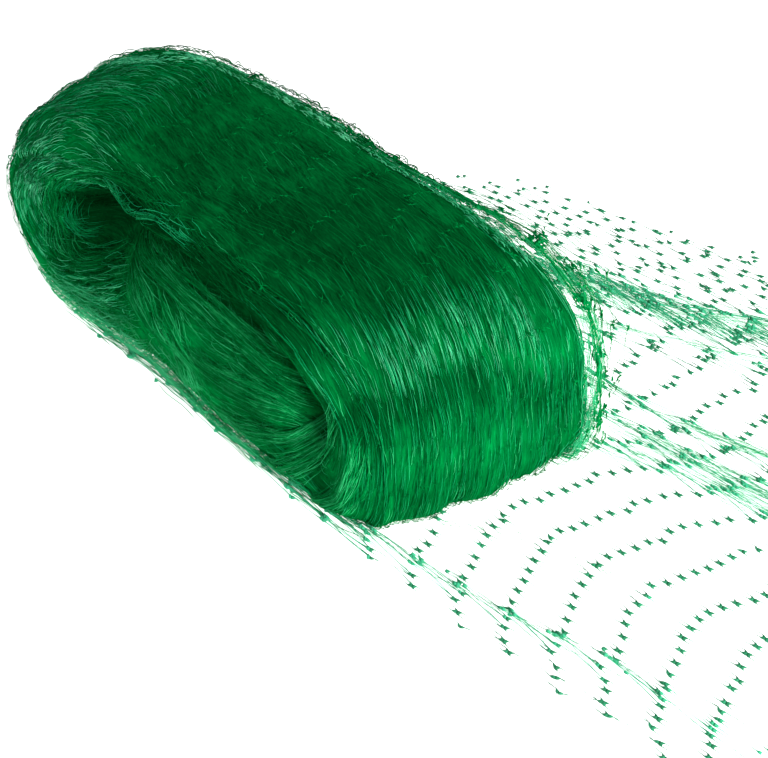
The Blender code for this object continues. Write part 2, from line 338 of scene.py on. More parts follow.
def press_near_end(rings):
    x, y, z = np.moveaxis(rings, 2, 0)
    push = 0 * x
    for pocket_x, pocket_z, reach_along, reach_across, lean, depth in POCKETS.values():
        c, s = math.cos(math.radians(lean)), math.sin(math.radians(lean))
        along, across = (x - pocket_x) * c + (z - pocket_z) * s, (z - pocket_z) * c - (x - pocket_x) * s
        push = push + depth * mound(along / reach_along, across / reach_across)
    inside = ramp(x, *CREASE_STARTS) * ramp(CREASE_ENDS[1] - x, 0, CREASE_ENDS[1] - CREASE_ENDS[0])
    push = push + CREASE_DEPTH * inside * bell(z, along_line(SLIT_LINE, x), CREASE_REACH)
    push = push - FLAP_DEPTH * mound(x / FLAP_WIDE, (z - FLAP_LEVEL) / FLAP_HIGH)
    push = push + along_line(NEAR_FOOT, x) * np.clip(2 - 2 * z / NEAR_FOOT_TOP, 0, 1)
    wave = np.cos(2 * math.pi * (face_place * BUNDLE_TURNS + turns))
    push = push - BUNDLE_HEIGHT * np.minimum(face_place * BUNDLE_TURNS, 1) * wave
    y += near_end_share * push


for shape in (raise_ribs, sway_far_edge, spread_foot, arch_slit, press_near_end):
    shape(surface)


# %% Distances on the surface
def normals_of(rings):
    along = np.roll(rings, -1, axis=1) - np.roll(rings, 1, axis=1)
    return unit(np.cross(np.gradient(rings, axis=0), along))


steps_across = np.linalg.norm(np.diff(surface, axis=0), axis=2).mean(axis=1)
across_mm = running_sum(steps_across)
width_mm = across_mm[-1]
perimeter_mm = np.linalg.norm(np.roll(surface, -1, axis=1) - surface, axis=2).sum(axis=1)
print("across the surface:", round(width_mm), "mm, around it:", round(perimeter_mm.max()), "mm")

# %% [markdown]
# ## Which way the strands run
# Most strands simply run around the roll. At the left end they do not: there the whole width of
# netting was pulled towards the eye of the near end, so the strands cross the corner at a slant
# and come back under the roll. The slant is a shift across the roll that grows and fades along the
# turn. The clumps use the same shift, read backwards, so that ridges and strands agree.

# %% Slant at the left end
SLANT = 60.0                            # largest shift towards the near end, in millimetres
SLANT_GROWS, SLANT_FADES = (0.33, 0.47), (0.56, 0.76)


def slanted(across, turn):
    amount = window(turn, SLANT_GROWS, SLANT_FADES) * smooth_step(across, 10, 110)
    return across - SLANT * (amount * (1 - smooth_step(across, 150, width_mm)))


def unslanted(turn_row):
    """The strand that passes each ring at each place of the turn: an array [ring, turn]."""
    strands = np.linspace(0, width_mm, 400)
    return np.stack([np.interp(across_mm, slanted(strands, turn), strands) for turn in turn_row], axis=1)


# %% Clumps of strands
CLUMP_WIDTH, CLUMP_LENGTH, CLUMP_HEIGHT = 3.2, 26.0, 0.75
ROUGH_TURN = 600        # a turn's rough length, for noise and streaks that close around the roll


def clump_height(strand, turn):
    """Ridges with sharp valleys, long around the roll and narrow across it."""
    u = strand / width_mm + 0.02 * soft_noise(strand / width_mm, turn, 9, 5, 3)
    broad = soft_noise(u, turn, int(width_mm / CLUMP_WIDTH), int(ROUGH_TURN / CLUMP_LENGTH), 11)
    fine = soft_noise(u, turn, int(2.3 * width_mm / CLUMP_WIDTH), int(1.7 * ROUGH_TURN / CLUMP_LENGTH), 12)
    return CLUMP_HEIGHT * (0.55 - np.abs(broad)) + 0.4 * CLUMP_HEIGHT * (0.5 - np.abs(fine))


def top_share(points):
    """One on the broad top of the roll, zero on its ends and sides."""
    x, y, z = np.moveaxis(points, -1, 0)
    return smooth_step(z, 62, 78) * (1 - smooth_step(x, 60, 112)) * smooth_step(y, -64, -42)


strand_at = unslanted(turns[0])
clumps = clump_height(strand_at, turns + 0 * strand_at) * (1 - 0.5 * top_share(surface))
surface += normals_of(surface) * clumps[:, :, None]
keep_above(surface, 0.4)
normals = normals_of(surface)
print("clumps from", round(clumps.min(), 1), "to", round(clumps.max(), 1), "mm high")

# %% Painted shade and light: folds, top and foot
# Painted shade in the folds of the near end; an amount below zero paints light there instead.
FOLDS = (   # place in the near face (X, Z), reach in both, and how much darker it is there
    (-77, 44, 22, 15, 0.85), (-46, 60, 20, 13, 0.45), (70, 12, 12, 8, 0.08), (40, 34, 28, 13, -0.12),
    (-15, 16, 25, 10, -0.12), (54, 42, 14, 6, 0.15), (95, 47, 5, 9, 0.4))
FOLD_LINE = ((-50, 66), (-21, 72), (4, 72), (31, 72), (50, 70), (62, 67), (76, 60))
# Painted shade in the crease and on the broad top; painted light at the foot.
CREASE_SHADE, TOP_SHADE, FOOT_GLOW = 0.5, 0.2, 0.65


def fold_shade(points):
    """Painted shade: how much darker strands are painted deep in the near end and on the broad top; painted light
    makes them paler at the foot.
    """
    x, y, z = np.moveaxis(points, -1, 0)
    near = smooth_step(-y, 30, 48)
    dark = 0 * x
    for fold_x, fold_z, reach_x, reach_z, amount in FOLDS:
        dark = dark + amount * near * mound((x - fold_x) / reach_x, (z - fold_z) / reach_z)
    crease = window(x, (-55, -25), (66, 82)) * near
    dark = dark + CREASE_SHADE * crease * bell(z, along_line(FOLD_LINE, x), 7)
    foot = smooth_step(-y, 48, 60) * (1 - smooth_step(z, 5, 20)) * smooth_step(60 - x, 0, 30)
    return dark + TOP_SHADE * top_share(points) - FOOT_GLOW * foot


# %% Painted light and shade in bands, and patches of tone
# Bands of painted highlight and painted shade over the right end.
BANDS = np.array([   # share of a turn from the right end, and how much paler the strands are there
    (-0.15, -0.06), (-0.06, -0.10), (-0.035, -0.20), (-0.015, -0.06), (0.010, -0.14), (0.024, -0.36),
    (0.034, -0.36), (0.046, -0.03), (0.075, -0.14), (0.10, -0.24), (0.16, -0.14), (0.30, -0.01), (0.34, 0.0),
    (0.42, 0.02)])
# Painted shade on the belt, and painted light along the far rim.
BELT_SHADE, RIM_GLOW = 0.28, 0.25


def calm_belt(across, turn):
    """The belt between the broad top and the right end, painted darker as shade, where single strands hardly show."""
    return window(turn, (0.06, 0.09), (0.16, 0.22)) * smooth_step(across, 60, 85) * (1 - smooth_step(across, 145, 160))


def band_shift(across):
    """The bands lie askew over the right end: lower on its far side."""
    return 0.0012 * np.clip(across - 105, 0, 28)


def broad_tone(across, turn):
    """Painted light and shade: bands of highlight and shade over the right end, a darker belt, a lighter far rim; and
    random patches everywhere, where the strands lie closer or gape.
    """
    place = across / width_mm
    from_end = np.mod(turn + 0.5, 1) - 0.5 + band_shift(across) + 0.006 * soft_noise(place, turn, 9, 3, 50)
    blotches_and_painted_light = 0.13 * soft_noise(place, turn, 9, 60, 51) + 0.07 * soft_noise(place, turn, 22, 130, 52)
    bands = window(across, (30, 70), (150, 185)) * np.interp(from_end, BANDS[:, 0], BANDS[:, 1], right=0, left=0)
    rim = window(across, (124, 136), (152, 162)) * window(np.mod(turn, 1), (0.07, 0.12), (0.33, 0.40))
    return bands - BELT_SHADE * calm_belt(across, np.mod(turn, 1)) + RIM_GLOW * rim + blotches_and_painted_light


# %% Reading the surface at any place
SLIT_MARGIN, LOWEST_STRAND = 0.5, 0.3       # strands keep off the middle of both slits, and off the floor


def on_surface(across, turn, lift):
    """Points and normals, in millimetres, at a distance across, a share of a turn and a height."""
    ring = np.interp(across, across_mm, np.arange(RINGS))
    i = np.minimum(ring.astype(int), RINGS - 2)
    point = np.mod(turn, 1) * TURN_POINTS
    k = point.astype(int) % TURN_POINTS
    cell = (i, i + 1, k, (k + 1) % TURN_POINTS, (ring - i)[..., None], (point % 1)[..., None])
    up = unit(between_cells(normals, *cell))
    return between_cells(surface, *cell) + up * np.asarray(lift)[..., None], up


def along_slant(across, turn, lift):
    """The same for strands that follow the slant, and the distance across where they then lie."""
    across = np.clip(slanted(across, np.mod(turn, 1)), SLIT_MARGIN, width_mm - SLIT_MARGIN)
    paths, ups = on_surface(across, turn, lift)
    keep_above(paths, LOWEST_STRAND)
    return paths, ups, across


# %% [markdown]
# ## Meshes for thousands of strands
# A strand is a thin tube. Thousands of curve objects would be slow, so one function turns a whole
# set of paths into a single mesh: a small ring of points at every step of every path, joined by
# quads, and closed at both ends. The arrays go straight into the mesh, which takes a moment for half
# a million faces. Each strand also gets one number, its tone, which the material reads to make some
# strands darker and some paler.

# %% Tubes along many paths
TUBE_SIDES = 3


def add_mesh(name, points, face_sets, tone, material):
    """One mesh object from points in millimetres and arrays of faces with 3 or 4 corners."""
    mesh = bpy.data.meshes.new(name)
    corners = np.concatenate([faces.reshape(-1) for faces in face_sets])
    sizes = np.concatenate([np.full(len(faces), faces.shape[1]) for faces in face_sets])
    mesh.vertices.add(len(points))
    mesh.vertices.foreach_set("co", (points * MM).astype(np.float32).reshape(-1))
    mesh.loops.add(len(corners))
    mesh.loops.foreach_set("vertex_index", corners.astype(np.int32))
    mesh.polygons.add(len(sizes))
    mesh.polygons.foreach_set("loop_start", np.concatenate([[0], np.cumsum(sizes)[:-1]]).astype(np.int32))
    mesh.polygons.foreach_set("use_smooth", np.full(len(sizes), True))
    mesh.update(calc_edges=True)
    mesh.validate()
    mesh.attributes.new("tone", "FLOAT", "POINT").data.foreach_set("value", np.asarray(tone, np.float32))
    mesh.materials.append(material)
    piece = add_object(name, mesh)
    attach(piece, "root")
    print(name, "has", len(points), "points and", int((sizes - 2).sum()), "triangles")
    return piece


def add_tubes(name, paths, ups, radii, tones, material):
    """Closed tubes, one for each path; the arrays are [path, step], and a path may have one tone."""
    count, steps = paths.shape[:2]
    forward = np.gradient(paths, axis=1)
    side = unit(np.cross(forward, ups))
    top = unit(np.cross(side, forward))
    angle = np.arange(TUBE_SIDES) * 2 * math.pi / TUBE_SIDES + math.pi / 2
    ring = np.cos(angle)[:, None] * side[:, :, None, :] + np.sin(angle)[:, None] * top[:, :, None, :]
    points = paths[:, :, None, :] + ring * radii[:, :, None, None]
    index = np.arange(count * steps * TUBE_SIDES).reshape(count, steps, TUBE_SIDES)
    after = np.roll(index, -1, axis=2)
    quads = np.stack([index[:, :-1], index[:, 1:], after[:, 1:], after[:, :-1]], axis=-1).reshape(-1, 4)
    caps = np.concatenate([index[:, 0], index[:, -1, ::-1]])
    tones = np.broadcast_to(tones.reshape(count, -1), (count, steps)).reshape(-1)
    return add_mesh(name, points.reshape(-1, 3), [quads, caps], np.repeat(tones, TUBE_SIDES), material)


# %% [markdown]
# ## The plastic
# The net is green polythene, drawn thin. Light goes through a single strand, so it looks pale, and a
# thick bundle looks deep green. One could make this with real transparency, but thousands of crossing
# tubes would then render slowly and full of noise, so the light that comes through, and the shade in
# the depth, are painted into the colour. All the materials use the same shader group for the tint: it
# blends three greens by the strand's own tone and by a noise in space, which stands for the strands
# that lie deeper. A second group gives the drawn plastic's faint unevenness, as a roughness and a
# height. A paler plastic carries painted light, and the palest one painted glints. Only these two keep
# a little gloss, which shows on the strands pulled taut over the end and on the pale threads: on the
# rest it would show as grey at the edges.

# %% Tools for shader nodes
def feed(tree, node, inputs):
    """Fill a node's inputs: an output of another node is joined, and any other value is a constant."""
    for label, value in inputs.items():
        if isinstance(value, bpy.types.NodeSocket):
            tree.links.new(value, node.inputs[label])
        else:
            node.inputs[label].default_value = value


def add_node(tree, kind, inputs={}, **settings):
    """Add a shader node and return its outputs."""
    node = tree.nodes.new("ShaderNode" + kind)
    for label, value in settings.items():
        setattr(node, label, value)
    feed(tree, node, inputs)
    return node.outputs


def add_math(tree, operation, *values, clamp=False):
    return add_node(tree, "Math", dict(enumerate(values)), operation=operation, use_clamp=clamp)[0]


def new_group(name, inputs, outputs):
    group = bpy.data.node_groups.new(name, "ShaderNodeTree")
    for label, kind, value in inputs:
        group.interface.new_socket(name=label, in_out="INPUT", socket_type="NodeSocket" + kind).default_value = value
    for label, kind in outputs:
        group.interface.new_socket(name=label, in_out="OUTPUT", socket_type="NodeSocket" + kind)
    return group, group.nodes.new("NodeGroupInput").outputs, group.nodes.new("NodeGroupOutput")


# %% Shader group: tint
MIDDLE_TONE = 0.55


def net_tint_group():
    group, given, result = new_group(
        "net tint",
        [("Tone", "Float", 0.5), ("Patch Size", "Float", 130.0), ("Patch Strength", "Float", 0.5),
         ("Deep", "Color", (0, 0.03, 0.008, 1)), ("Middle", "Color", (0, 0.16, 0.04, 1)),
         ("Pale", "Color", (0.1, 0.45, 0.2, 1))],
        [("Color", "Color")])
    place = add_node(group, "TexCoord")["Object"]
    noise = add_node(group, "TexNoise", {"Vector": place, "Scale": given["Patch Size"], "Detail": 4.0,
                                         "Roughness": 0.75})["Fac"]
    centred = add_math(group, "SUBTRACT", noise, 0.5)
    mask = add_math(group, "MULTIPLY_ADD", centred, given["Patch Strength"], given["Tone"], clamp=True)
    low = add_node(group, "MapRange", {"Value": mask, "From Max": MIDDLE_TONE})["Result"]
    high = add_node(group, "MapRange", {"Value": mask, "From Min": MIDDLE_TONE})["Result"]
    dark = add_node(group, "Mix", {"Factor": low, "A": given["Deep"], "B": given["Middle"]}, data_type="RGBA")
    pale = add_node(group, "Mix", {"Factor": high, "A": dark["Result"], "B": given["Pale"]}, data_type="RGBA")
    feed(group, result, {"Color": pale["Result"]})
    return group


# %% Shader groups: drawn plastic and strand streaks
def drawn_plastic_group():
    group, given, result = new_group(
        "drawn plastic",
        [("Scale", "Float", 900.0), ("Roughness Low", "Float", 0.3), ("Roughness High", "Float", 0.5)],
        [("Roughness", "Float"), ("Height", "Float")])
    place = add_node(group, "TexCoord")["Object"]
    noise = add_node(group, "TexNoise", {"Vector": place, "Scale": given["Scale"], "Detail": 2.0})["Fac"]
    spread = add_node(group, "MapRange", {"Value": noise, "To Min": given["Roughness Low"],
                                          "To Max": given["Roughness High"]})["Result"]
    feed(group, result, {"Roughness": spread, "Height": noise})
    return group


def strand_streaks_group():
    group, given, result = new_group(
        "strand streaks",
        [("Lay", "Vector", (0.0, 0.0, 0.0)), ("Strand Width", "Float", 0.8), ("Streak Length", "Float", 14.0)],
        [("Mask", "Float"), ("Height", "Float")])
    split = add_node(group, "SeparateXYZ", {0: given["Lay"]})
    lines = add_math(group, "DIVIDE", split["X"], given["Strand Width"])
    run = add_math(group, "DIVIDE", split["Y"], given["Streak Length"])
    stretched = add_node(group, "CombineXYZ", {"X": lines, "Y": run})[0]
    noise = add_node(group, "TexNoise", {"Vector": stretched, "Scale": 1.0, "Detail": 3.0, "Distortion": 0.25})["Fac"]
    sharp = add_node(group, "MapRange", {"Value": noise, "From Min": 0.35, "From Max": 0.68})["Result"]
    feed(group, result, {"Mask": sharp, "Height": noise})
    return group


tint, drawn_plastic, strand_streaks = net_tint_group(), drawn_plastic_group(), strand_streaks_group()


# %% The materials of strands and knots
STRAND_WIDTH, STREAK_LENGTH = 0.75, 7.0     # of the inner mass, in millimetres


def net_material(name, deep, middle, pale, patch_strength, bump, shine=0.0, streaked=False):
    """Plastic in three greens; a streaked one has fine lines along the strands, in colour and relief."""
    material = bpy.data.materials.new(name)
    material.use_nodes = True
    tree = material.node_tree
    tone = add_node(tree, "Attribute", attribute_name="tone")["Fac"]
    finish = add_node(tree, "Group", node_tree=drawn_plastic)
    relief = {"Height": finish["Height"], "Strength": bump, "Distance": 0.0002}
    if streaked:
        lay = add_node(tree, "Attribute", attribute_name="lay")["Vector"]
        streaks = add_node(tree, "Group", {"Lay": lay, "Strand Width": STRAND_WIDTH, "Streak Length": STREAK_LENGTH},
                           node_tree=strand_streaks)
        tone = add_math(tree, "ADD", add_math(tree, "MULTIPLY_ADD", streaks["Mask"], 0.34, -0.17), tone)
        relief = {"Height": streaks["Height"], "Strength": bump, "Distance": 0.0005}
    colour = add_node(tree, "Group", {"Tone": tone, "Patch Strength": patch_strength, "Deep": (*deep, 1),
                                      "Middle": (*middle, 1), "Pale": (*pale, 1)}, node_tree=tint)["Color"]
    feed(tree, tree.nodes["Principled BSDF"],
         {"Base Color": colour, "Roughness": finish["Roughness"], "Specular IOR Level": shine,
          "Specular Tint": (0.1, 1.0, 0.4, 1.0), "Normal": add_node(tree, "Bump", relief)["Normal"]})
    return material


# Columns: deep, middle and pale green, strength of the patches, bump.
knot_plastic = net_material("knot_plastic", (0.01, 0.13, 0.05), (0.03, 0.21, 0.10), (0.06, 0.48, 0.25), 0.3, 0.1)
strand_plastic = net_material("strand_plastic", (0.0, 0.08, 0.016), (0.0, 0.24, 0.05), (0.04, 0.55, 0.2), 0.75, 0.15)
# A paler plastic, painted light: strands painted as lit over the ends and at the foot, and as lit through in the
# loops, the hanks and the gathers on the floor.
painted_light_plastic = net_material("painted_light_plastic", (0.0, 0.24, 0.06), (0.01, 0.44, 0.16), (0.10, 0.74, 0.36), 0.3, 0.1,
                            shine=0.02)
# The palest plastic, painted highlights: glints on single threads.
painted_glint_plastic = net_material("painted_glint_plastic", (0.01, 0.26, 0.09), (0.06, 0.50, 0.24), (0.18, 0.80, 0.42), 0.2, 0.1,
                            shine=0.02)
mass_plastic = net_material("mass_plastic", (0.0, 0.06, 0.012), (0.0, 0.17, 0.033), (0.0, 0.30, 0.06), 0.6, 0.6,
                            streaked=True)

# %% [markdown]
# ## The mass under the strands
# Between the outer strands one looks into the winding and sees only more strands, darker and
# darker. A closed surface stands for that depth, and its dark colour is painted shade. It follows
# the winding just under the strands, and its tone falls in the valleys between clumps, as painted
# shade, so it reads as a mass of fibre and not as a skin. Fine streaks run over it as the strands do,
# and lean with them across the top.

# %% Inner mass
MASS_DEPTH = 0.5        # millimetres under the surface
STREAK_DRIFT = 180      # how far the streaks lean, in millimetres a turn
LEAN_OF_STREAKS = ((0, 0.05, 0.45, 0.6, 0.9, 1), (-0.2, -0.2, 0.2, 0.2, -0.2, -0.2))    # by share of a turn


def mass_faces(count, around):
    """Quads over the rings, strips that close the two ends, and the triangles at the strips' tips."""
    index = np.arange(count * around).reshape(count, around)
    after = np.roll(index, -1, axis=1)
    quads = np.stack([index[:-1], after[:-1], after[1:], index[1:]], axis=-1).reshape(-1, 4)[:, ::-1]
    half, caps, tips = around // 2, [], []
    k = np.arange(1, half - 1)
    for row, way in ((index[0], 1), (index[-1], -1)):
        caps.append(np.stack([row[k], row[-k], row[-k - 1], row[k + 1]], axis=1)[:, ::way])
        tips.append(row[[[0, -1, 1], [half - 1, half + 1, half]]][:, ::way])
    return [quads, np.concatenate(caps), np.concatenate(tips)]


def add_mass():
    rows = (surface - normals * MASS_DEPTH)[:, ::2]
    strand, turn, height = strand_at[:, ::2], turns[:, ::2], clumps[:, ::2] / CLUMP_HEIGHT
    streak = soft_noise(strand / width_mm, turn, 110, 48, 21)
    # Painted light and shade of the bands, belt and far rim, with random patches; below, painted shade in the valleys
    # between clumps and in the folds.
    blotches_and_painted_light = broad_tone(across_mm[:, None], turn) * (1 - 0.4 * top_share(rows))
    tone = np.clip(0.46 + 0.28 * height + 0.12 * streak + blotches_and_painted_light - fold_shade(rows), 0, 1)
    faces = mass_faces(*rows.shape[:2])
    mass = add_mesh("roll_mass", rows.reshape(-1, 3), faces, tone.reshape(-1), mass_plastic)
    drift = STREAK_DRIFT * np.interp(turn, *LEAN_OF_STREAKS) * smooth_step(across_mm[:, None], 30, 110)
    lay = np.stack([strand - drift, turn * ROUGH_TURN + 0 * strand, 0 * height], axis=-1).reshape(-1, 3)
    lay = lay[np.concatenate([face.reshape(-1) for face in faces])]
    wrapped = np.flatnonzero(np.ptp(faces[0] % rows.shape[1], axis=1) > rows.shape[1] // 2)
    corners = (wrapped[:, None] * 4 + np.arange(4)).reshape(-1)
    lay[corners, 1] += np.where(lay[corners, 1] < ROUGH_TURN / 2, ROUGH_TURN, 0)
    attribute = mass.data.attributes.new("lay", "FLOAT_VECTOR", "CORNER")
    attribute.data.foreach_set("vector", lay.astype(np.float32).reshape(-1))
    return mass


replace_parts(add_mass(), "net_roll")

# %% [markdown]
# ## The strands of the winding
# Seen closely, the roll is hair: strands run around it side by side, bend a little where they were
# knotted to a neighbour, and cross now and then. Each strand here is a length of a turn. It starts
# and ends under the surface, zigzags at the pace of the real mesh, wanders slowly, and keeps its
# own height and tone. The sets are laid from the inside out: close and even ones, wavier ones, and a
# few stray strands that stand off, painted pale as if they caught the light. The outer turns were
# pulled askew, so the strands lean across the winding over the right end, the top and the left end.
# Over the right end the net is stretched: its strands are short and straight, painted pale as a
# highlight in one band, and they lie close and are painted dark as shade in the next; the belt above
# is painted darker, and single strands hardly show there. At the far rim and the left end knots and
# threads are seen from the side, as dark dashes and as pale glints, which are painted highlights.

# %% Laying strands
KNOT_PACE = 19.3        # millimetres along a strand between two knots
STEP_LENGTH = 4.2       # millimetres between two points of a strand
HIDDEN_LEVEL = 1.5      # strands that lie mostly under this level are left out


def lean_share(across, turn):
    """Where the strands lean across the winding: over the right end, the top and the left end."""
    return window(turn, (-0.01, 0.04), (0.5, 0.56)) * smooth_step(across, 45, 75)


def strand_tones(tones, middle, paths, across, turn):
    """Tones of strands, calmer on the broad top, following the painted shade and light of the folds, top, foot, bands,
    belt and far rim, and random patches.
    """
    calm = np.maximum(top_share(paths), calm_belt(across, np.mod(turn, 1)))
    return np.clip(tones - 0.45 * calm * (tones - middle) - fold_shade(paths)
                   + broad_tone(across, turn) * (1 - 0.4 * calm), 0, 1)


def lay_strands(name, count, seed, length, lift, zigzag, wander, radius, tone, surfacing=0.5,
                across_range=(0, 1), turn_range=(0, 1), sink=1.2, lean=0.0, askew=False, material=strand_plastic):
    """A set of strands; the two-value arguments are the lowest and highest of a spread."""
    rng = np.random.default_rng(seed)
    one_each = (count, 1)
    middle = rng.uniform(across_range[0] * width_mm, across_range[1] * width_mm, one_each)
    around = np.interp(middle, across_mm, perimeter_mm)
    lengths = rng.uniform(*length, one_each)
    start = rng.uniform(*turn_range, one_each) - askew * band_shift(middle)
    share = np.linspace(0, 1, max(int(length[1] / STEP_LENGTH), 5))[None, :]
    turn = start + share * (lengths / around)
    travelled = turn * around
    own = rng.uniform(0, 1, one_each)

    def drift(reach, shift, cells_along, cells_across, step):
        return soft_noise(travelled / reach + shift * own, own + 0 * turn, cells_along, cells_across, seed + step)

    row = 0.6 * soft_noise(middle / width_mm, own * 0, 15, 1, 5)
    pace = 2 * math.pi * (travelled / (2 * KNOT_PACE) + row + rng.normal(0, 0.07, one_each))
    side = np.where(rng.random(one_each) < 0.5, -1, 1)
    lateral = rng.uniform(*zigzag, one_each) * side * np.sin(pace)
    lateral = lateral + lean * lean_share(middle, start) * (travelled - travelled[:, :1])
    lateral = lateral + wander * drift(300, 7.7, 11, 97, 1)
    lateral = lateral + (0.2 + 0.5 * window(np.mod(turn, 1), (0.15, 0.4), (0.65, 0.8))) * drift(90, 3.1, 23, 89, 2)
    dive = np.clip(np.minimum(share, 1 - share) * lengths / np.minimum(10, 0.3 * lengths), 0, 1)
    rise = (rng.uniform(*lift, one_each) + surfacing * drift(260, 5.3, 17, 83, 3)) * dive - sink * (1 - dive)
    paths, ups, across = along_slant(middle + lateral, turn, rise)
    shown = (paths[:, :, 2] > HIDDEN_LEVEL).mean(axis=1) > 0.35
    shown &= rng.random(count) > 0.5 * calm_belt(across, np.mod(turn, 1)).mean(axis=1)
    radii = rng.uniform(*radius, one_each) * (0.35 + 0.65 * dive)
    own_tone = rng.uniform(*tone, one_each) + 0.22 * drift(210, 2.3, 19, 79, 4)
    tones = strand_tones(own_tone, np.mean(tone), paths, across, turn)
    add_tubes(name, paths[shown], ups[shown], radii[shown], tones[shown], material)


lay_strands("strands_close", 800, 101, length=(20, 45), lift=(-0.3, 0.15), zigzag=(0.3, 0.9), wander=1.0,
            radius=(0.12, 0.17), tone=(0.27, 0.43), lean=0.3)
lay_strands("strands_short", 1700, 102, length=(8, 22), lift=(-0.1, 0.45), zigzag=(0.3, 1.0), wander=1.5,
            radius=(0.10, 0.15), tone=(0.24, 0.55), surfacing=0.2, lean=0.3)
lay_strands("strands_wavy", 200, 103, length=(30, 70), lift=(0.0, 0.7), zigzag=(0.5, 1.3), wander=2.4,
            radius=(0.10, 0.14), tone=(0.3, 0.6), surfacing=0.6, lean=0.2)
lay_strands("strands_stray", 110, 104, length=(25, 60), lift=(0.5, 1.4), zigzag=(0.6, 1.6), wander=4.0,
            radius=(0.08, 0.12), tone=(0.5, 0.9), surfacing=0.8)

# %% Taut strands over the right end, with painted highlights
taut = {"wander": 0.4, "surfacing": 0.1, "sink": -0.2, "lean": 0.25, "askew": True}
# Painted highlights: short pale strands over the bright band of the right end.
lay_strands("strands_taut", 300, 105, length=(5, 14), lift=(0.6, 1.0), zigzag=(0.0, 0.15), radius=(0.09, 0.14),
            tone=(0.3, 1.1), across_range=(0.33, 0.61), turn_range=(0.038, 0.075), material=painted_light_plastic, **taut)
lay_strands("strands_bright", 160, 115, length=(6, 15), lift=(0.8, 1.2), zigzag=(0.0, 0.15), radius=(0.07, 0.10),
            tone=(0.1, 1.0), across_range=(0.28, 0.62), turn_range=(0.025, 0.085), material=painted_glint_plastic, **taut)
lay_strands("strands_near_taut", 380, 107, length=(5, 14), lift=(0.5, 0.9), zigzag=(0.0, 0.2), radius=(0.08, 0.12),
            tone=(0.1, 0.85), across_range=(0.15, 0.70), turn_range=(0.0, 0.12), material=painted_light_plastic, **taut)
lay_strands("strands_foot", 900, 106, length=(7, 18), lift=(0.5, 0.9), zigzag=(0.1, 0.4), wander=0.6,
            radius=(0.10, 0.15), tone=(-0.2, 0.5), surfacing=0.1, across_range=(0.2, 0.82), turn_range=(-0.13, 0.01),
            sink=-0.1, material=painted_light_plastic)

# %% Dashes, and glints painted as pale threads, along the far rim and the left end
lay_strands("end_dashes", 380, 110, length=(1.5, 3.5), lift=(0.7, 1.5), zigzag=(0.0, 0.2), wander=0.3,
            radius=(0.18, 0.26), tone=(0.0, 0.12), surfacing=0.2, across_range=(0.24, 0.68), turn_range=(0.37, 0.46),
            sink=-0.5, material=knot_plastic)
lay_strands("rim_dashes", 260, 108, length=(3, 8), lift=(2.2, 4.0), zigzag=(0.0, 0.2), wander=0.3,
            radius=(0.16, 0.28), tone=(0.0, 0.3), surfacing=0.2, across_range=(0.68, 0.80), turn_range=(0.12, 0.40),
            sink=-1.8)
# Painted highlights: pale threads just inside the far rim.
lay_strands("rim_glints", 760, 109, length=(2, 5), lift=(0.8, 1.4), zigzag=(0.0, 0.1), wander=0.2,
            radius=(0.10, 0.16), tone=(0.3, 1.2), surfacing=0.1, across_range=(0.665, 0.735), turn_range=(0.07, 0.40),
            sink=-0.6, material=painted_glint_plastic)

# %% [markdown]
# ## Rows of meshes
# Where the net is not pulled quite tight its meshes still show: short arcs, side by side, from one
# row of knots to the next, like scales. They are clearest over the left end and only a faint grain
# on the top. Each arc is laid from a place in a grid of rows and strands, with the rows swaying and
# arcs missing here and there, because a grid that stayed straight would look woven. Some arcs of each
# set are painted pale as glints, and an arc is painted a little darker where it dips to its knots, as
# shade. A thin set of pale arcs, painted highlights, lies over the left end, where single threads
# catch the light.

# %% Arcs between rows of knots
ROW_PITCH = 7.6         # millimetres between two rows of knots
ARC_GAP = 1.35          # millimetres between two strands of a row
ARC_STEPS = 6


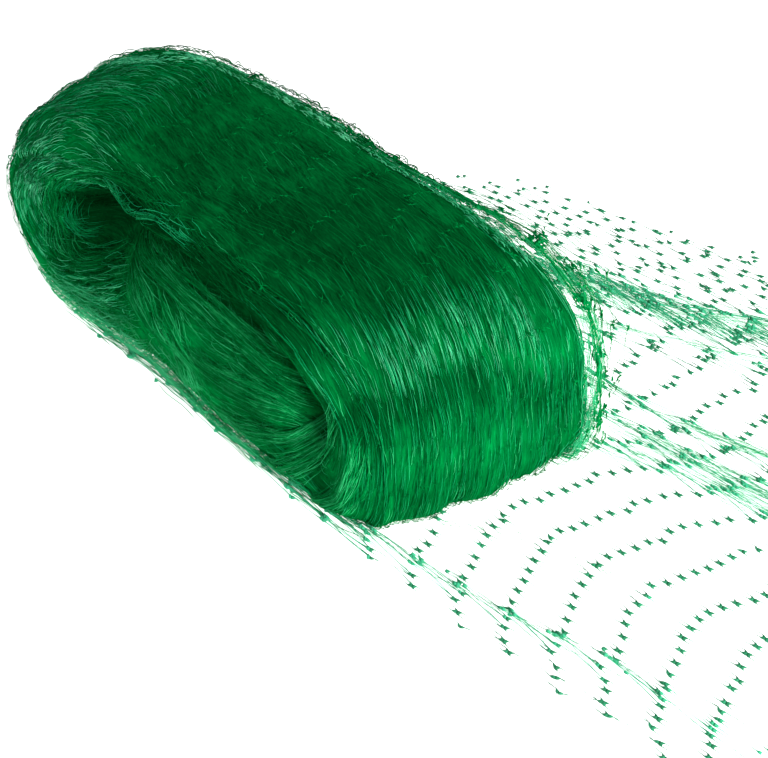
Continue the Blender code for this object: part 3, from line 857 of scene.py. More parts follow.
def lay_rows(name, seed, turn_range, kept_share, bow, lift, radius, tone, painted_glint_share=0.0, lean=0.0,
             material=strand_plastic):
    rng = np.random.default_rng(seed)
    near, far = 0.07, 0.93          # shares of the way across the surface
    around = perimeter_mm.mean()
    rows = int((turn_range[1] - turn_range[0]) * around / ROW_PITCH)
    columns = int((far - near) * width_mm / ARC_GAP)
    column, row = (grid.reshape(-1, 1) for grid in np.indices((columns, rows)))
    across = near * width_mm + ARC_GAP * (column + 0.5 * (row % 2)) + rng.normal(0, 0.3, row.shape)
    start = turn_range[0] + ROW_PITCH * row / around
    patches = soft_noise(across / width_mm, start, 15, 45, seed + 1)
    kept = (rng.random(row.shape) < kept_share + 0.6 * patches)[:, 0]
    across, start, patches = across[kept], start[kept], patches[kept]
    place, share = across / width_mm, np.linspace(0, 1, ARC_STEPS)[None, :]
    sway = 0.7 * ROW_PITCH / around * soft_noise(place, start, 12, 40, seed + 2)
    reach = ROW_PITCH / around * rng.uniform(0.9, 1.35, start.shape)
    turn = start + sway + rng.normal(0, 0.1, start.shape) * ROW_PITCH / around + share * reach
    arch = np.sin(math.pi * share)
    lateral = 0.45 * soft_noise(place + 0 * share, start + share * ROW_PITCH / around, 60, 200, seed + 4)
    lateral = lateral + rng.uniform(*bow, start.shape) * arch + lean * ROW_PITCH * lean_share(across, start) * share
    lateral = lateral + 1.2 * soft_noise(place, start, 14, 60, seed + 3) * share
    rise = lift[0] + (rng.uniform(0, lift[1] - lift[0], start.shape)) * arch - 0.5 * (1 - np.clip(4 * arch, 0, 1))
    paths, ups, across = along_slant(across + lateral, turn, rise)
    radii = rng.uniform(*radius, start.shape) * (0.5 + 0.5 * arch)
    # Painted glints on a share of the arcs; below, painted shade where an arc dips to its knots.
    own_tone = rng.uniform(*tone, start.shape) + 0.9 * (rng.random(start.shape) < painted_glint_share)
    tones = strand_tones(own_tone + 0.25 * patches + 0.12 * (arch - 0.5), np.mean(tone), paths, across, turn)
    add_tubes(name, paths, ups, radii, tones, material)


lay_rows("rows_left", 111, (0.31, 0.56), 0.8, bow=(-0.3, 0.6), lift=(0.4, 1.1), radius=(0.08, 0.12),
         tone=(-0.3, 0.4), painted_glint_share=0.22, lean=0.3, material=painted_light_plastic)
lay_rows("rows_top", 112, (0.09, 0.33), 0.5, bow=(-0.3, 0.5), lift=(0.2, 0.6), radius=(0.10, 0.14), tone=(0.25, 0.6),
         painted_glint_share=0.08, lean=0.35)
lay_rows("rows_right", 113, (-0.12, 0.10), 0.42, bow=(-0.3, 0.3), lift=(0.3, 0.7), radius=(0.09, 0.13),
         tone=(0.15, 0.5), painted_glint_share=0.2, lean=0.3)
lay_rows("rows_pale", 114, (0.325, 0.50), 0.42, bow=(-0.4, 0.4), lift=(0.7, 1.3), radius=(0.07, 0.11),
         tone=(0.0, 0.9), lean=0.5, material=painted_glint_plastic)

# %% [markdown]
# ## Hanks in the near end
# In the near end the turns are not neat rings. Hanks of strands lie across one another: a lip
# runs over the crease, a thick hank leaves the eye and sinks into the right pocket, and thinner ones
# fan out below. Each hank is given by its two edges, drawn on the near end as seen from the front. Its
# strands fill the space between the edges and lie on the surface, highest in the hank's middle.

# %% Depth of an end under any point, on a grid of 1 mm cells
FACE_X, FACE_Z = (-150, 130), (-4, 90)
EMPTY_CELL = 1000.0
NO_SURFACE = {True: -40.0, False: -15.0}        # depth where the near or the far end has no surface


def neighbours(grid):
    return [np.roll(grid, step, axis) for axis in (0, 1) for step in (-1, 1)]


def face_depth_map(near):
    """The outermost surface of one end, as Y, over a grid of X and Z; mirrored for the far end."""
    first, last = (0.2, 90) if near else (width_mm - 75, width_mm - 0.2)
    across, turn = np.meshgrid(np.arange(first, last, 0.4), np.arange(0, 1, 1 / 1600), indexing="ij")
    x, y, z = np.moveaxis(on_surface(across, turn, 0 * across)[0], -1, 0)
    cells = (FACE_X[1] - FACE_X[0], FACE_Z[1] - FACE_Z[0])
    depth = np.full(cells, EMPTY_CELL)
    column = np.clip((x - FACE_X[0]).astype(int), 0, cells[0] - 1)
    row = np.clip((z - FACE_Z[0]).astype(int), 0, cells[1] - 1)
    np.minimum.at(depth, (column, row), y if near else -y)
    for _ in range(6):
        depth = np.where(depth > EMPTY_CELL / 2, np.min(neighbours(depth), axis=0), depth)
    depth = np.where(depth > EMPTY_CELL / 2, NO_SURFACE[near], depth)
    for _ in range(2):
        depth = (depth + sum(neighbours(depth))) / 5
    return depth


face_depths = {near: face_depth_map(near) for near in (True, False)}


def face_y(depth, x, z):
    u = np.clip(x - FACE_X[0] - 0.5, 0, depth.shape[0] - 1.001)
    v = np.clip(z - FACE_Z[0] - 0.5, 0, depth.shape[1] - 1.001)
    i, k = u.astype(int), v.astype(int)
    return between_cells(depth, i, i + 1, k, k + 1, u - i, v - k)


# %% Hanks
HANKS = {   # two edges as X, Z places, strands, their lengths, height of the middle, tones
    "left fan": (((-106, 22), (-88, 25), (-72, 30), (-56, 38), (-40, 47)),
                 ((-92, 3), (-75, 6), (-58, 10), (-40, 18), (-22, 30)), 420, (10, 32), 1.0, (0.1, 0.85)),
    "sweep": (((8, 41), (24, 43), (41, 43), (57, 40), (67, 31)),
              ((3, 21), (21, 21), (43, 26), (61, 30), (68, 26)), 280, (10, 36), 1.0, (0.2, 0.75)),
    "low sweep": (((10, 13), (30, 17), (50, 23), (63, 27), (70, 34)),
                  ((23, 8), (42, 11), (59, 18), (68, 25), (80, 44)), 180, (12, 36), 1.2, (0.35, 0.8)),
    "curl": (((35, 7), (53, 12), (65, 20), (74, 30), (85, 55)),
             ((48, 3), (66, 7), (76, 16), (85, 34), (89, 52)), 140, (12, 36), 1.5, (0.4, 0.9)),
    "foot": (((62, 2), (74, 5), (83, 12), (93, 32), (93, 46)),
             ((75, 1), (88, 7), (97, 18), (99, 31), (97, 46)), 150, (12, 36), 1.5, (0.4, 0.9)),
    "eye loops": (((-45, 78), (-70, 74), (-92, 60), (-104, 40), (-98, 24), (-80, 22), (-60, 30), (-42, 42)),
                  ((-45, 72), (-66, 67), (-83, 56), (-93, 42), (-91, 33), (-78, 30), (-63, 36), (-50, 46)),
                  330, (12, 36), 1.0, (0.05, 0.95)),
    # The strands in the eye slit are painted dark: painted shade in the slit.
    "eye slit": (((-97, 51), (-86, 56), (-74, 58), (-60, 59)), ((-97, 42), (-86, 44), (-74, 46), (-60, 49)),
                 190, (8, 24), 0.3, (0.0, 0.45)),
    "lip": (((-69, 76), (-56, 79), (-34, 80), (-6, 79), (23, 77), (48, 73), (70, 66)),
            ((-66, 69), (-48, 73), (-29, 74), (-3, 74), (24, 71), (48, 65), (67, 57)),
            240, (12, 36), 1.0, (0.1, 0.65)),
    "upper": (((-30, 72), (-10, 74), (10, 74), (31, 73), (50, 70), (66, 63)),
              ((-30, 63), (-11, 65), (10, 64), (31, 61), (50, 56), (66, 49)), 240, (8, 28), 1.2, (0.15, 0.65)),
    "middle": (((-46, 60), (-30, 64), (-11, 66), (10, 65), (31, 62), (50, 57), (66, 50), (76, 42)),
               ((-46, 50), (-30, 50), (-11, 49), (8, 46), (24, 44), (42, 42), (58, 38), (66, 32)),
               560, (12, 40), 2.5, (0.2, 0.8)),
    "crossing": (((-38, 52), (-22, 50), (-8, 47), (5, 40), (14, 28), (20, 16)),
                 ((-46, 44), (-34, 38), (-22, 30), (-12, 20), (-4, 10), (0, 4)), 300, (10, 30), 1.6, (0.25, 0.85)),
}
# These hanks are in the paler plastic, painted light: single threads painted lit at the eye, the lip and the fan, and
# the near foot painted lighter.
PALE_HANKS = {
    "eye low arcs": (((-98, 47), (-96, 36), (-87, 30), (-74, 33)), ((-92, 46), (-89, 41), (-84, 37), (-74, 40)),
                     36, (8, 22), 1.0, (0.1, 0.8)),
    "eye high arcs": (((-98, 46), (-92, 55), (-78, 65), (-60, 71)), ((-91, 44), (-85, 51), (-73, 58), (-60, 63)),
                      40, (8, 22), 1.0, (0.0, 0.7)),
    "lip frays": (((-62, 75), (-44, 74), (-30, 75), (-15, 79), (0, 79), (18, 76)),
                  ((-60, 70), (-44, 68), (-30, 69), (-15, 73), (0, 72), (18, 70)), 90, (6, 18), 1.6, (0.3, 0.9)),
    "fan": (*HANKS["left fan"][:2], 130, (8, 24), 2.0, (0.1, 1.0)),
    "near foot": (((-113, 13), (-80, 12), (-40, 12), (0, 11), (40, 9), (75, 6)),
                  [(x, 0.5) for x in (-113, -80, -40, 0, 40, 75)], 760, (4, 15), 3.0, (-0.1, 0.9)),
}
HANK_STEPS = 26         # places read along the edges of a hank
STRAND_STEPS = 7


def hank_paths(upper, lower, count, lengths, height, tones, rng, near):
    edges = [smooth_columns(edge, HANK_STEPS) for edge in (upper, lower)]
    full = np.linalg.norm(np.diff((edges[0] + edges[1]) / 2, axis=0), axis=1).sum()
    one_each = (count, 1)
    share = np.linspace(0, 1, STRAND_STEPS)[None, :]
    across = np.clip(rng.normal(0.5, 0.3, one_each), -0.15, 1.15)
    reach = np.minimum(rng.uniform(*lengths, one_each) / full, 1)
    along = rng.uniform(0, 1, one_each) * (1 - reach) + reach * share
    spread = across + 0.1 * soft_noise(along * 0.7 + across, across + 0 * along, 9, 61, 71)
    at = along * (HANK_STEPS - 1)
    first, last = (np.stack([np.interp(at, np.arange(HANK_STEPS), column) for column in edge.T], axis=-1)
                   for edge in edges)
    place = first * (1 - spread[..., None]) + last * spread[..., None]
    forward = np.gradient(place, axis=1)
    travelled = np.cumsum(np.linalg.norm(forward, axis=2), axis=1)
    forward = unit(forward, least=1e-6)
    side = np.where(rng.random(one_each) < 0.5, -1, 1)
    wave = rng.uniform(0.1, 0.6, one_each) * side * np.sin(
        math.pi * travelled / KNOT_PACE * 1.25 + rng.normal(0, 0.5, one_each))
    x, z = place[..., 0] - forward[..., 1] * wave, place[..., 1] + forward[..., 0] * wave
    crown = np.sqrt(np.clip(np.sin(math.pi * np.clip(spread, 0, 1)), 0, 1))
    dive = smooth_step(np.minimum(share, 1 - share), -0.1, 0.2)
    lift = height * crown * smooth_step(np.minimum(along, 1 - along), 0, 0.25) + rng.uniform(0.1, 1.1, one_each)
    lift = lift * dive - 1.5 * (1 - dive)
    outward = -1.0 if near else 1.0
    paths = np.stack([x, -outward * (face_y(face_depths[near], x, z) - lift), z], axis=-1)
    ups = np.broadcast_to([0.0, outward, 0.25], paths.shape)
    # Painted highlight along each strand (the gleam), and the painted shade of the folds.
    gleam = soft_noise(travelled / 170 + across * 9, across + 0 * along, 19, 79, 73)
    tone = rng.uniform(*tones, one_each) + 0.2 * gleam - 0.8 * fold_shade(paths)
    radii = rng.uniform(0.08, 0.15, one_each) * (0.4 + 0.6 * dive)
    return paths, ups, radii, np.clip(tone, 0, 1)


def add_hanks(name, hanks, seed, material, near=True):
    rng = np.random.default_rng(seed)
    parts = [hank_paths(*hank, rng, near) for hank in hanks.values()]
    paths, ups, radii, tones = (np.concatenate(arrays) for arrays in zip(*parts))
    keep_above(paths, 0.4)
    add_tubes(name, paths, ups, radii, tones, material)


add_hanks("near_end_hanks", HANKS, 61, strand_plastic)
add_hanks("pale_hanks", PALE_HANKS, 62, painted_light_plastic)

# %% Hanks in the far end
FAR_HANKS = {
    "upper turns": (((-134, 36), (-120, 52), (-95, 62), (-50, 66), (0, 64), (40, 60), (70, 50), (80, 36)),
                    ((-122, 34), (-112, 44), (-90, 49), (-50, 50), (0, 48), (40, 46), (62, 42), (70, 34)),
                    360, (12, 38), 1.4, (0.2, 0.75)),
    "lower turns": (((-122, 30), (-110, 24), (-70, 21), (-20, 20), (30, 21), (60, 25), (72, 32)),
                    ((-130, 22), (-112, 11), (-70, 7), (-20, 6), (30, 7), (66, 12), (82, 28)),
                    330, (12, 38), 1.2, (0.2, 0.75)),
    "over the slit": (((-116, 30), (-95, 40), (-60, 43), (-25, 37), (10, 38), (45, 42), (66, 36)),
                      ((-112, 24), (-92, 28), (-60, 26), (-25, 25), (10, 29), (45, 30), (70, 30)),
                      200, (10, 34), 2.2, (0.1, 0.6)),
}
add_hanks("far_end_hanks", FAR_HANKS, 63, strand_plastic, near=False)

# %% [markdown]
# ## One bar of the net
# Where two strands of bird netting meet they are fused, and the plastic there is not drawn thin. So
# each knot is a small fat x, and the bars between knots are as thin as hair. One helper makes such
# bars from pairs of knots: fat at both ends, with the arms spread into an x, and thin and a little
# slack in the middle. The loose turn and the free end are both made of these bars.

# %% Bars between knots
MESH_ROW = 19.3         # knots along a strand, millimetres apart
ARM_LENGTH, ARM_SPREAD = 1.6, 0.8
BAR_RADII = np.array([0.66, 0.56, 0.16, 0.07, 0.06, 0.07, 0.16, 0.56, 0.66])
BAR_BELLY = np.array([0, 0, 0, 0.64, 1, 0.64, 0, 0, 0])     # how slack a bar is along its length


def net_bars(starts, ends, ups, along, sideways, steps, slack, rng, thickness=1.0, closeness=0.0, spread=1.0):
    """Paths and radii of bars; along and sideways point down the net and across it."""
    arm = ARM_LENGTH * along + (steps * ARM_SPREAD * spread)[:, None] * sideways
    first, last = starts + arm, ends - arm
    stations = [starts, starts + 0.55 * arm, first]
    stations += [first + share * (last - first) for share in (0.2, 0.5, 0.8)]
    stations += [last, ends - 0.55 * arm, ends]
    paths = np.stack(stations, axis=1)
    belly = BAR_BELLY[None, :, None]
    paths = paths + belly * rng.normal(0, slack, len(starts))[:, None, None] * sideways[:, None]
    paths = paths + belly * np.abs(rng.normal(0, 0.5 * slack, len(starts)))[:, None, None] * ups[:, None]
    radii = BAR_RADII + BAR_BELLY * np.reshape(closeness / thickness, (-1, 1))
    radii = radii * np.reshape(thickness, (-1, 1)) * rng.uniform(0.85, 1.15, (len(starts), 1))
    return paths, np.repeat(ups[:, None], len(BAR_RADII), axis=1), radii


def row_pairs(row, here, there):
    return np.stack([np.full(len(here), row), here, np.full(len(here), row + 1), there], axis=1)


def knot_pairs(pairs):
    """The indices [row, column] of both ends of each pair."""
    row, column, next_row, next_column = np.concatenate(pairs).T
    return (row, column), (next_row, next_column)


# %% [markdown]
# ## The loose outer turn
# The last turn is not pressed into the roll. Over the top it lies a few millimetres proud, and one
# sees its single knots against the light at the roll's edge. At the right end its far half springs
# away from the roll in loops, and there it comes down to the floor. It is one lattice, wrapped
# on the same surface with its own lift. Its columns crowd together in a few bundles, and a few stray
# ones stand off furthest. Loose strands run inside the bundles, and more of them lie along the foot
# of the right end, where the turn leaves the roll.

# %% Where the outer turn lies
OUTER_START, OUTER_END = -0.06, 0.66       # shares of a turn, from the floor over the top
OUTER_COLUMNS = 110
OUTER_BUNDLES = (       # place from the near rim (0) to the far one (1), reach, how much closer the columns are
    (0.60, 0.020, 4.0), (0.74, 0.025, 6.0), (0.88, 0.030, 8.0), (0.965, 0.025, 5.5))
OUTER_EDGES = (2.7, 9.3)                   # the rims that it reaches, by stations
OUTER_LIFT, RIM_LIFT, OUTER_WAVE = 1.1, 2.4, 0.9       # all of it, more at the far rim, and how uneven
SPRING_LIFT, LOOP_LIFT = 3.0, 5.0
STRAY_PLACE, STRAY_REACH, STRAY_LIFT = 0.925, 0.014, 11

station_mm = np.interp(np.arange(len(STATIONS)) * (RINGS - 1) / (len(STATIONS) - 1), np.arange(RINGS), across_mm)
near_rim, far_rim = np.interp(OUTER_EDGES, np.arange(len(STATIONS)), station_mm)


def crowded_places(count, bundles):
    place = np.linspace(0, 1, 800)
    density = np.ones_like(place)
    for centre, reach, strength in bundles:
        density += strength * bell(place, centre, reach)
    total = running_sum((density[1:] + density[:-1]) / 2)
    return np.interp(np.linspace(0, total[-1], count), total, place)


def far_edge_share(place):
    return smooth_step(place, 0.82, 0.97)


def spring_share(place, turn):
    """How far the turn has sprung from the roll: its far half, at the right end."""
    return bell(turn, 0.01, np.where(turn > 0.01, 0.12, 0.085)) * smooth_step(place, 0.45, 0.8)


def outer_turn_place(place, turn):
    """Distance across the roll and height over it; place runs from the near rim (0) to the far one (1)."""
    wander = 0.02 * soft_noise(turn, place, 9, 4, 42)
    across = near_rim + (far_rim - near_rim) * np.clip(place + wander, -0.02, 1.03)
    loops = 0.65 + 0.5 * np.sin(2 * math.pi * (place * 3.1 + 0.1))
    stray = STRAY_LIFT * bell(place, STRAY_PLACE, STRAY_REACH)
    sprung = spring_share(place, turn) * (SPRING_LIFT + LOOP_LIFT * loops + stray)
    lift = (OUTER_LIFT + RIM_LIFT * far_edge_share(place) + sprung
            + OUTER_WAVE * soft_noise(turn, place, 13, 11, 43))
    return across, lift * (1 - 0.4 * smooth_step(turn, 0.36, 0.44))


# %% Outer turn
def lattice_pairs(keep):
    """Pairs of neighbouring knots; keep is [row, column] of booleans."""
    pairs, columns = [], keep.shape[1]
    for row in range(keep.shape[0] - 1):
        for step in (-1, 1):
            first = np.arange(max(0, -step), columns - max(0, step))
            first = first[keep[row, first] & keep[row + 1, first + step]]
            pairs.append(row_pairs(row, first, first + step))
    return knot_pairs(pairs)


def add_outer_turn():
    rng = np.random.default_rng(31)
    rows = int((OUTER_END - OUTER_START) * perimeter_mm[RINGS // 2] / MESH_ROW)
    row_index = np.arange(rows)[:, None]
    place = crowded_places(OUTER_COLUMNS, OUTER_BUNDLES)[None, :]
    turn = OUTER_START + (OUTER_END - OUTER_START) * row_index / (rows - 1) + 0 * place
    turn = turn + 0.012 * soft_noise(place, turn, 7, 9, 41) + rng.normal(0, 0.0018, turn.shape)
    across, lift = outer_turn_place(place, turn)
    loose = 1 - 0.7 * far_edge_share(place) * (1 - spring_share(place, turn))
    across = across + rng.normal(0, 0.4, turn.shape) * loose
    lift = lift + rng.normal(0, 0.25, turn.shape) * loose
    points, ups = on_surface(across, turn, np.maximum(lift, 0.5))
    keep_above(points, 0.6)
    sideways = unit(np.gradient(points, axis=1))
    keep = (row_index + np.arange(OUTER_COLUMNS)[None, :]) % 2 == 0
    a, b = lattice_pairs(keep)
    span = points[b] - points[a]
    travel = unit(span - (span * sideways[a]).sum(axis=1, keepdims=True) * sideways[a])
    sprung = spring_share(place, turn)[a]
    proud = np.clip(far_edge_share(place + 0 * turn)[a] + sprung, 0, 1)
    at_far_rim = np.clip(proud - sprung, 0, 1)
    paths, bar_ups, radii = net_bars(
        points[a], points[b], ups[a], travel, sideways[a], b[1] - a[1], 0.4 - 0.36 * at_far_rim, rng,
        thickness=0.26 + 0.42 * proud, closeness=0.075 - 0.035 * proud, spread=1 - 0.6 * proud - 0.32 * at_far_rim)
    share = ((paths - paths[:, :1]) * travel[:, None]).sum(axis=2) / np.linalg.norm(span, axis=1)[:, None]
    share = np.clip(share, 0, 1)

    def between(values):
        return values[a][:, None] * (1 - share) + values[b][:, None] * share

    curved, bar_ups = on_surface(between(across), between(turn), np.maximum(between(lift), 0.4))
    straight = points[a][:, None] * (1 - share[:, :, None]) + points[b][:, None] * share[:, :, None]
    paths += curved - straight
    keep_above(paths, 0.4)
    # Painted light: the sprung loops are painted paler, as if lit through; the bars along the far rim are darker.
    tones = np.clip(rng.uniform(0.15, 0.45, len(paths)) + 0.25 * sprung - 0.2 * (proud - sprung), 0, 1)
    print("rows and knots of the outer turn:", rows, int(keep.sum()))
    add_tubes("outer_turn", paths, bar_ups, radii, tones, strand_plastic)


add_outer_turn()

# %% Loose strands of the loops
LOOP_FOOT = ((136, -0.062), (155, -0.018))       # across in millimetres, and share of a turn
LOOP_STRANDS, LOOP_FOOT_STRANDS, LOOP_STEPS = 210, 170, 16


def add_loop_strands():
    """Long strands inside the bundles of the outer turn, over its sprung right end and down to the floor."""
    rng = np.random.default_rng(33)
    share = np.linspace(0, 1, LOOP_STEPS)[None, :]
    centres = rng.choice([bundle[0] for bundle in OUTER_BUNDLES[1:]], LOOP_STRANDS)[:, None]
    place = np.clip(centres + rng.normal(0, 0.035, centres.shape), 0, 1.02)
    turn = rng.uniform(-0.05, 0.16, centres.shape) + share * rng.uniform(0.02, 0.07, centres.shape)
    place = place + 0.006 * soft_noise(turn * 4, place, 29, 31, 44)
    across, lift = outer_turn_place(place, turn)
    lift = lift * rng.uniform(0.1, 1.2, centres.shape) * smooth_step(turn, -0.13, -0.03) + 0.4
    paths, ups = on_surface(across, turn, lift)
    one_each = (LOOP_FOOT_STRANDS, 1)
    at = rng.uniform(0, 0.75, one_each)
    at = at + rng.uniform(0.12, 0.35, one_each) * share
    (low_across, low_turn), (high_across, high_turn) = LOOP_FOOT
    foot, foot_ups = on_surface(low_across + (high_across - low_across) * at + rng.normal(0, 2.4, one_each),
                                low_turn + (high_turn - low_turn) * at + rng.normal(0, 0.007, one_each),
                                rng.uniform(0.4, 4.0, one_each) + 0.8 * soft_noise(at, at[:, :1] + 0 * at, 9, 83, 45))
    paths, ups = np.concatenate([paths, foot]), np.concatenate([ups, foot_ups])
    keep_above(paths, 0.5)
    radii = rng.uniform(0.04, 0.08, (len(paths), 1)) * np.clip(3 * np.sin(math.pi * share), 0.4, 1)
    radii[-LOOP_FOOT_STRANDS:] *= 1.7
    # Painted light: the loose strands get pale tones in the paler plastic, as if lit through.
    tones = rng.uniform(0.3, 1.1, len(paths))
    add_tubes("loop_strands", paths, ups, radii, tones, painted_light_plastic)


add_loop_strands()

# %% [markdown]
# ## The free end on the floor
# The free end fans out on the floor. Its knots keep their rows, because the bars along
# the net hold their length, while across the net they are free to crowd: along a few lines the mesh
# closes into bundles, and between them it stands open. So each row is laid out from a density across
# the net, which is one everywhere and rises at every gather. Every knot is joined to the two of the
# next row that it lies between. The rows are bowed, as the roll rolled back over the middle of the
# net. The same net also lies under the roll and shows along its near foot.
# Beyond the roll the net lies double, so its back part is laid once more, a little shifted. Inside
# the gathers the strands are pulled out straight, and are added as long thin tubes.

# %% Free end: gathers and edges, in millimetres
NET_FIRST_X = 131.5     # row 0, beside the roll
NET_LEFT_X, NET_END_X, NET_END_Y = -82, 268, 199
JUNCTION_STEP = 5.0     # between knots, across the open net
LONGEST_BAR = 1.7 * MESH_ROW
ROW_SKEW, SKEW_FROM, SKEW_FRONT = 0.10, 125, 60     # the further out (X), the more askew a row's front part (Y)
FOOT_LEVEL = 3.0        # the roll stands on the floor where it is lower than this
ROW_SHAPE = ((-80, 22), (-70, 11), (-64, 6), (-50, 1), (-40, -4), (-31, -7), (-22, -8), (-12, -4), (0, 0),
             (10, 1), (18, 4), (26, 10), (36, 17), (46, 22), (60, 24), (90, 24), (130, 22), (220, 22))
NET_FRONT = ((-100, -70), (-50, -72), (-1, -72.5), (17, -73), (35, -74.5), (60, -76.5), (75, -77), (100, -77),
             (131, -77), (172, -74), (228, -68), (290, -64))
NET_BACK = ((-90, 100), (-67, 121), (-33, 148), (8, 158), (50, 164), (86, 181), (150, 194), (290, 200))
GATHERS = {     # line over the floor, reach across it, how many times closer the knots are, strands per mm
    "front cord": (((60, -71), (101, -68), (138, -64.5), (156, -61), (174, -57.5), (191, -53), (208, -50)),
                   1.3, 10.0, 0.15),
    "cord end": (((206, -50), (240, -47), (300, -45)), 3.5, 1.8, 0.05),
    "inner fold": (((99, -55), (131, -33), (147, -28), (163, -25), (190, -20)), 1.2, 1.6, 0.12),
    "loose bundle": (((100, 40), (115, 39), (133, 42), (142, 43), (153, 45), (180, 50), (300, 85)), 3.5, 6.0, 0.9),
    "near bundle": (((60, 54), (98, 55), (123, 55), (143, 59), (168, 66), (300, 117)), 2.0, 7.0, 0.7),
    "near foot": (((-90, -69), (-30, -69), (0, -70.5), (50, -74), (90, -73), (106, -69)), 2.2, 3.5, 0.8),
    "foot fan": (((100, 24), (116, 28), (128, 29), (138, 33), (160, 37), (300, 67)), 3.0, 5.5, 0.7),
    "thin bundle": (((20, 60), (78, 87), (106, 100), (134, 113), (300, 188)), 2.0, 6.0, 0.5),
    "back bundle": (((-80, 62), (0, 88), (52, 106), (89, 115), (120, 134), (300, 213)), 6.0, 12.0, 1.3),
}
CORD, FOOT = ["front cord", "cord end", "inner fold"], ["near foot"]
FIRST_ROW, LAST_ROW = -12, 6


def gather_amount(x, y):
    total = np.zeros(np.broadcast(x, y).shape)
    for line, reach, strength, _ in GATHERS.values():
        inside = window(x, (line[0][0] - 20, line[0][0] + 20), (line[-1][0] - 12, line[-1][0] + 12))
        total = total + inside * strength * bell(y, along_line(line, x), reach)
    return total


def free_end_row(x):
    """Places across the net of a row's half steps, from the front edge to the back one."""
    y = np.linspace(along_line(NET_FRONT, x), along_line(NET_BACK, x), 1200)
    density = 1 + gather_amount(x, y) + 0.4 * (y < along_line(GATHERS["front cord"][0], x))
    total = running_sum((density[1:] + density[:-1]) / 2 * np.diff(y)) / JUNCTION_STEP
    return np.interp(np.arange(int(total[-1] * 2) + 1) / 2, total, y)


def under_roll(x, y):
    """Places that the roll hides: within the patch of floor that its rings come down to."""
    low = surface[:, :, 2] < FOOT_LEVEL
    rings = [(ring[0, 1], ring[on, 0].min(), ring[on, 0].max()) for ring, on in zip(surface, low) if on.any()]
    foot_y, left, right = np.array(sorted(rings)).T
    return ((y > foot_y[0] + 4) & (y < foot_y[-1]) & (x < np.interp(y, foot_y, right) - 1.15 * MESH_ROW)
            & (x > np.interp(y, foot_y, left) - 10))


def nearest_pairs(keep, points):
    """Pairs that join each knot to the two of the next row that it lies between."""
    pairs = []
    for row in range(len(keep) - 1):
        here, there = np.flatnonzero(keep[row]), np.flatnonzero(keep[row + 1])
        if len(there) > 1 and len(here):
            after = np.clip(np.searchsorted(points[row + 1, there, 1], points[row, here, 1]), 1, len(there) - 1)
            pairs += [row_pairs(row, here, there[after - 1]), row_pairs(row, here, there[after])]
    (row, here), (next_row, there) = knot_pairs(pairs)
    near = np.linalg.norm(points[row, here] - points[next_row, there], axis=1) < LONGEST_BAR
    return (row[near], here[near]), (next_row[near], there[near])


def add_loose_net(name, seed, begins=((0, -200),), shift=(0.0, 0.0, 0.0)):
    """The net on the floor, or only its part beyond a line, moved by a shift."""
    rng = np.random.default_rng(seed)
    rows = np.arange(FIRST_ROW, LAST_ROW + 1)
    places = [free_end_row(NET_FIRST_X + row * MESH_ROW + 10) for row in rows]
    columns = max(len(place) for place in places)
    points = np.zeros((len(rows), columns, 3))
    keep = np.zeros((len(rows), columns), bool)
    for i, (row, y) in enumerate(zip(rows, places)):
        base, n = NET_FIRST_X + row * MESH_ROW, len(y)
        shaped = y - ROW_SKEW * (base - SKEW_FROM) * np.clip((SKEW_FRONT - y) / SKEW_FRONT, 0, 1)
        x = base + along_line(ROW_SHAPE, shaped)
        amount = gather_amount(x, y)
        loose, crowded = smooth_step(y, 60, 110), np.clip(amount, 0, 2)
        points[i, :n, 0] = x + rng.normal(0, 0.7, n) * (1 + 1.4 * crowded + 3.5 * loose * (1 - 0.45 * crowded))
        points[i, :n, 1] = y + rng.normal(0, 0.35, n) * (1 + 3 * loose)
        points[i, :n, 2] = 0.55 + np.clip(amount, 0, 4) * rng.uniform(0, 0.75, n)
        points[i, :n] += shift
        shown = (x > NET_LEFT_X) & (y > along_line(begins, x) + rng.normal(0, 4, n))
        keep[i, :n] = ((np.arange(n) + row) % 2 == 0) & ~under_roll(x, y) & shown
    a, b = nearest_pairs(keep, points)
    along, side, up = (np.tile(axis, (len(a[0]), 1)) for axis in np.eye(3))
    amount = gather_amount(points[a][:, 0], points[a][:, 1])
    selvedge = (points[a][:, 1] < -64) & (points[b][:, 0] < 115)
    crowd = np.clip(amount, 0, 2) / 2
    toward = np.sign(points[b][:, 1] - points[a][:, 1])
    paths, ups, radii = net_bars(
        points[a], points[b], up, along, side, toward, 0.45, rng, thickness=1 + 0.4 * selvedge,
        closeness=0.012 * np.clip(amount, 0, 4) + 0.05 * selvedge, spread=1 - 0.65 * crowd)
    keep_above(paths, 0.35)
    print("knots on the floor:", int(keep.sum()), "bars:", len(paths))
    tones = rng.uniform(0.45, 0.7, len(paths)) + 0.5 * crowd
    return add_tubes(name, paths, ups, radii, tones, knot_plastic)


# %% Strands of the gathers
GATHERED_STEPS = 9


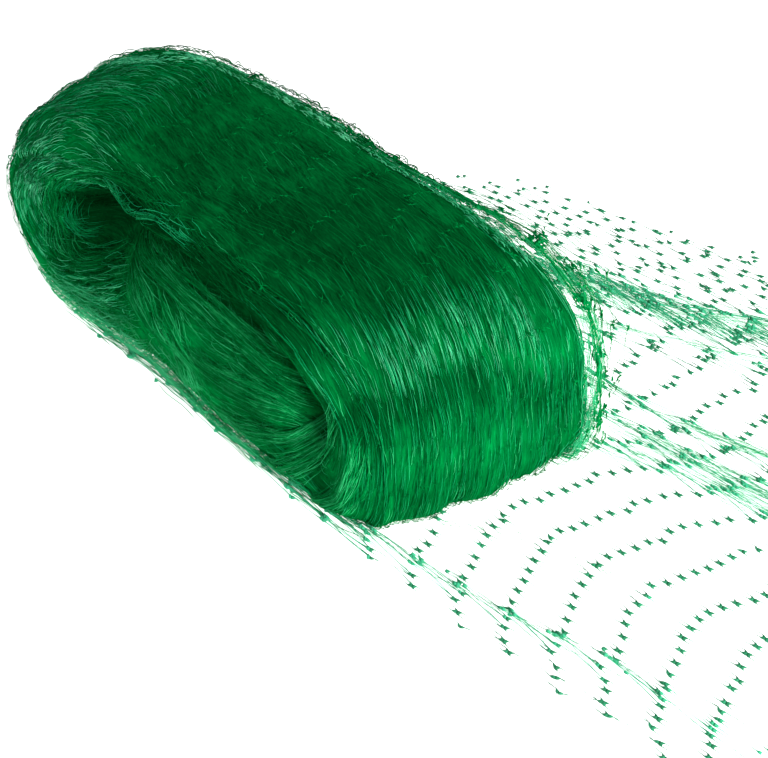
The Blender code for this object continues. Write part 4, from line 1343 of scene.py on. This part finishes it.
def add_gathered_strands(piece_name, seed, names, material, thick=1.0, tone=(0.2, 0.9)):
    """Long strands that run along some gathers on the floor, between and over the knots."""
    rng = np.random.default_rng(seed)
    share = np.linspace(0, 1, GATHERED_STEPS)[None, :]
    arch = np.sin(math.pi * share)
    parts = []
    for name in names:
        line, reach, _, strands_per_mm = GATHERS[name]
        line_x, line_y = np.array(line, float).T
        length = running_sum(np.hypot(np.diff(line_x), np.diff(line_y)))
        one_each = (int(strands_per_mm * length[-1]), 1)
        start = rng.uniform(0, length[-1], one_each)
        at = start + share * rng.uniform(14, 45, one_each)
        opens = 1 + 1.5 * np.exp(-at / 35) * (name == "back bundle")
        aside = opens * rng.normal(0, 0.9 * reach, one_each) + 0.8 * soft_noise(at / 90, start / length[-1], 9, 37, 59)
        x = np.interp(at, length, line_x)
        y = np.interp(at, length, line_y) + aside + 1.2 * (name == "near foot")
        z = 0.35 + rng.uniform(0.1, 1.2, one_each) * arch + 0.25 * bell(aside, 0, reach)
        kept = (at.max(axis=1) < length[-1]) & (x.max(axis=1) < NET_END_X) & (y.max(axis=1) < NET_END_Y)
        if name == "back bundle":
            kept = kept & (rng.random(len(start)) < 0.15 + start[:, 0] / 60)
        radii = thick * rng.uniform(0.04, 0.08, one_each)[kept] * np.clip(3 * arch, 0.35, 1)
        parts.append((np.stack([x, y, z], axis=-1)[kept], radii, rng.uniform(*tone, len(start))[kept]))
    paths, radii, tones = (np.concatenate(arrays) for arrays in zip(*parts))
    ups = np.broadcast_to([0.0, 0.0, 1.0], paths.shape)
    return add_tubes(piece_name, paths, ups, radii, tones, material)


bundles = [name for name in GATHERS if name not in CORD + FOOT]
# The strands of the bundles are in the paler plastic, painted light: as if lit through.
gathered = add_gathered_strands("gathered_strands", 58, bundles, painted_light_plastic)
cord_strands = add_gathered_strands("cord_strands", 61, CORD, strand_plastic, thick=1.1, tone=(0.1, 0.8))
foot_strands = add_gathered_strands("foot_strands", 60, FOOT, strand_plastic, thick=2.0, tone=(0.1, 1.0))
loose_end = add_loose_net("loose_net_end", 57)
second_layer = add_loose_net("loose_net_fold", 59, begins=((-80, 75), (52, 102), (120, 132), (270, 196)),
                             shift=(-9.0, -3.0, 0.5))
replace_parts(loose_end, "loose_net")
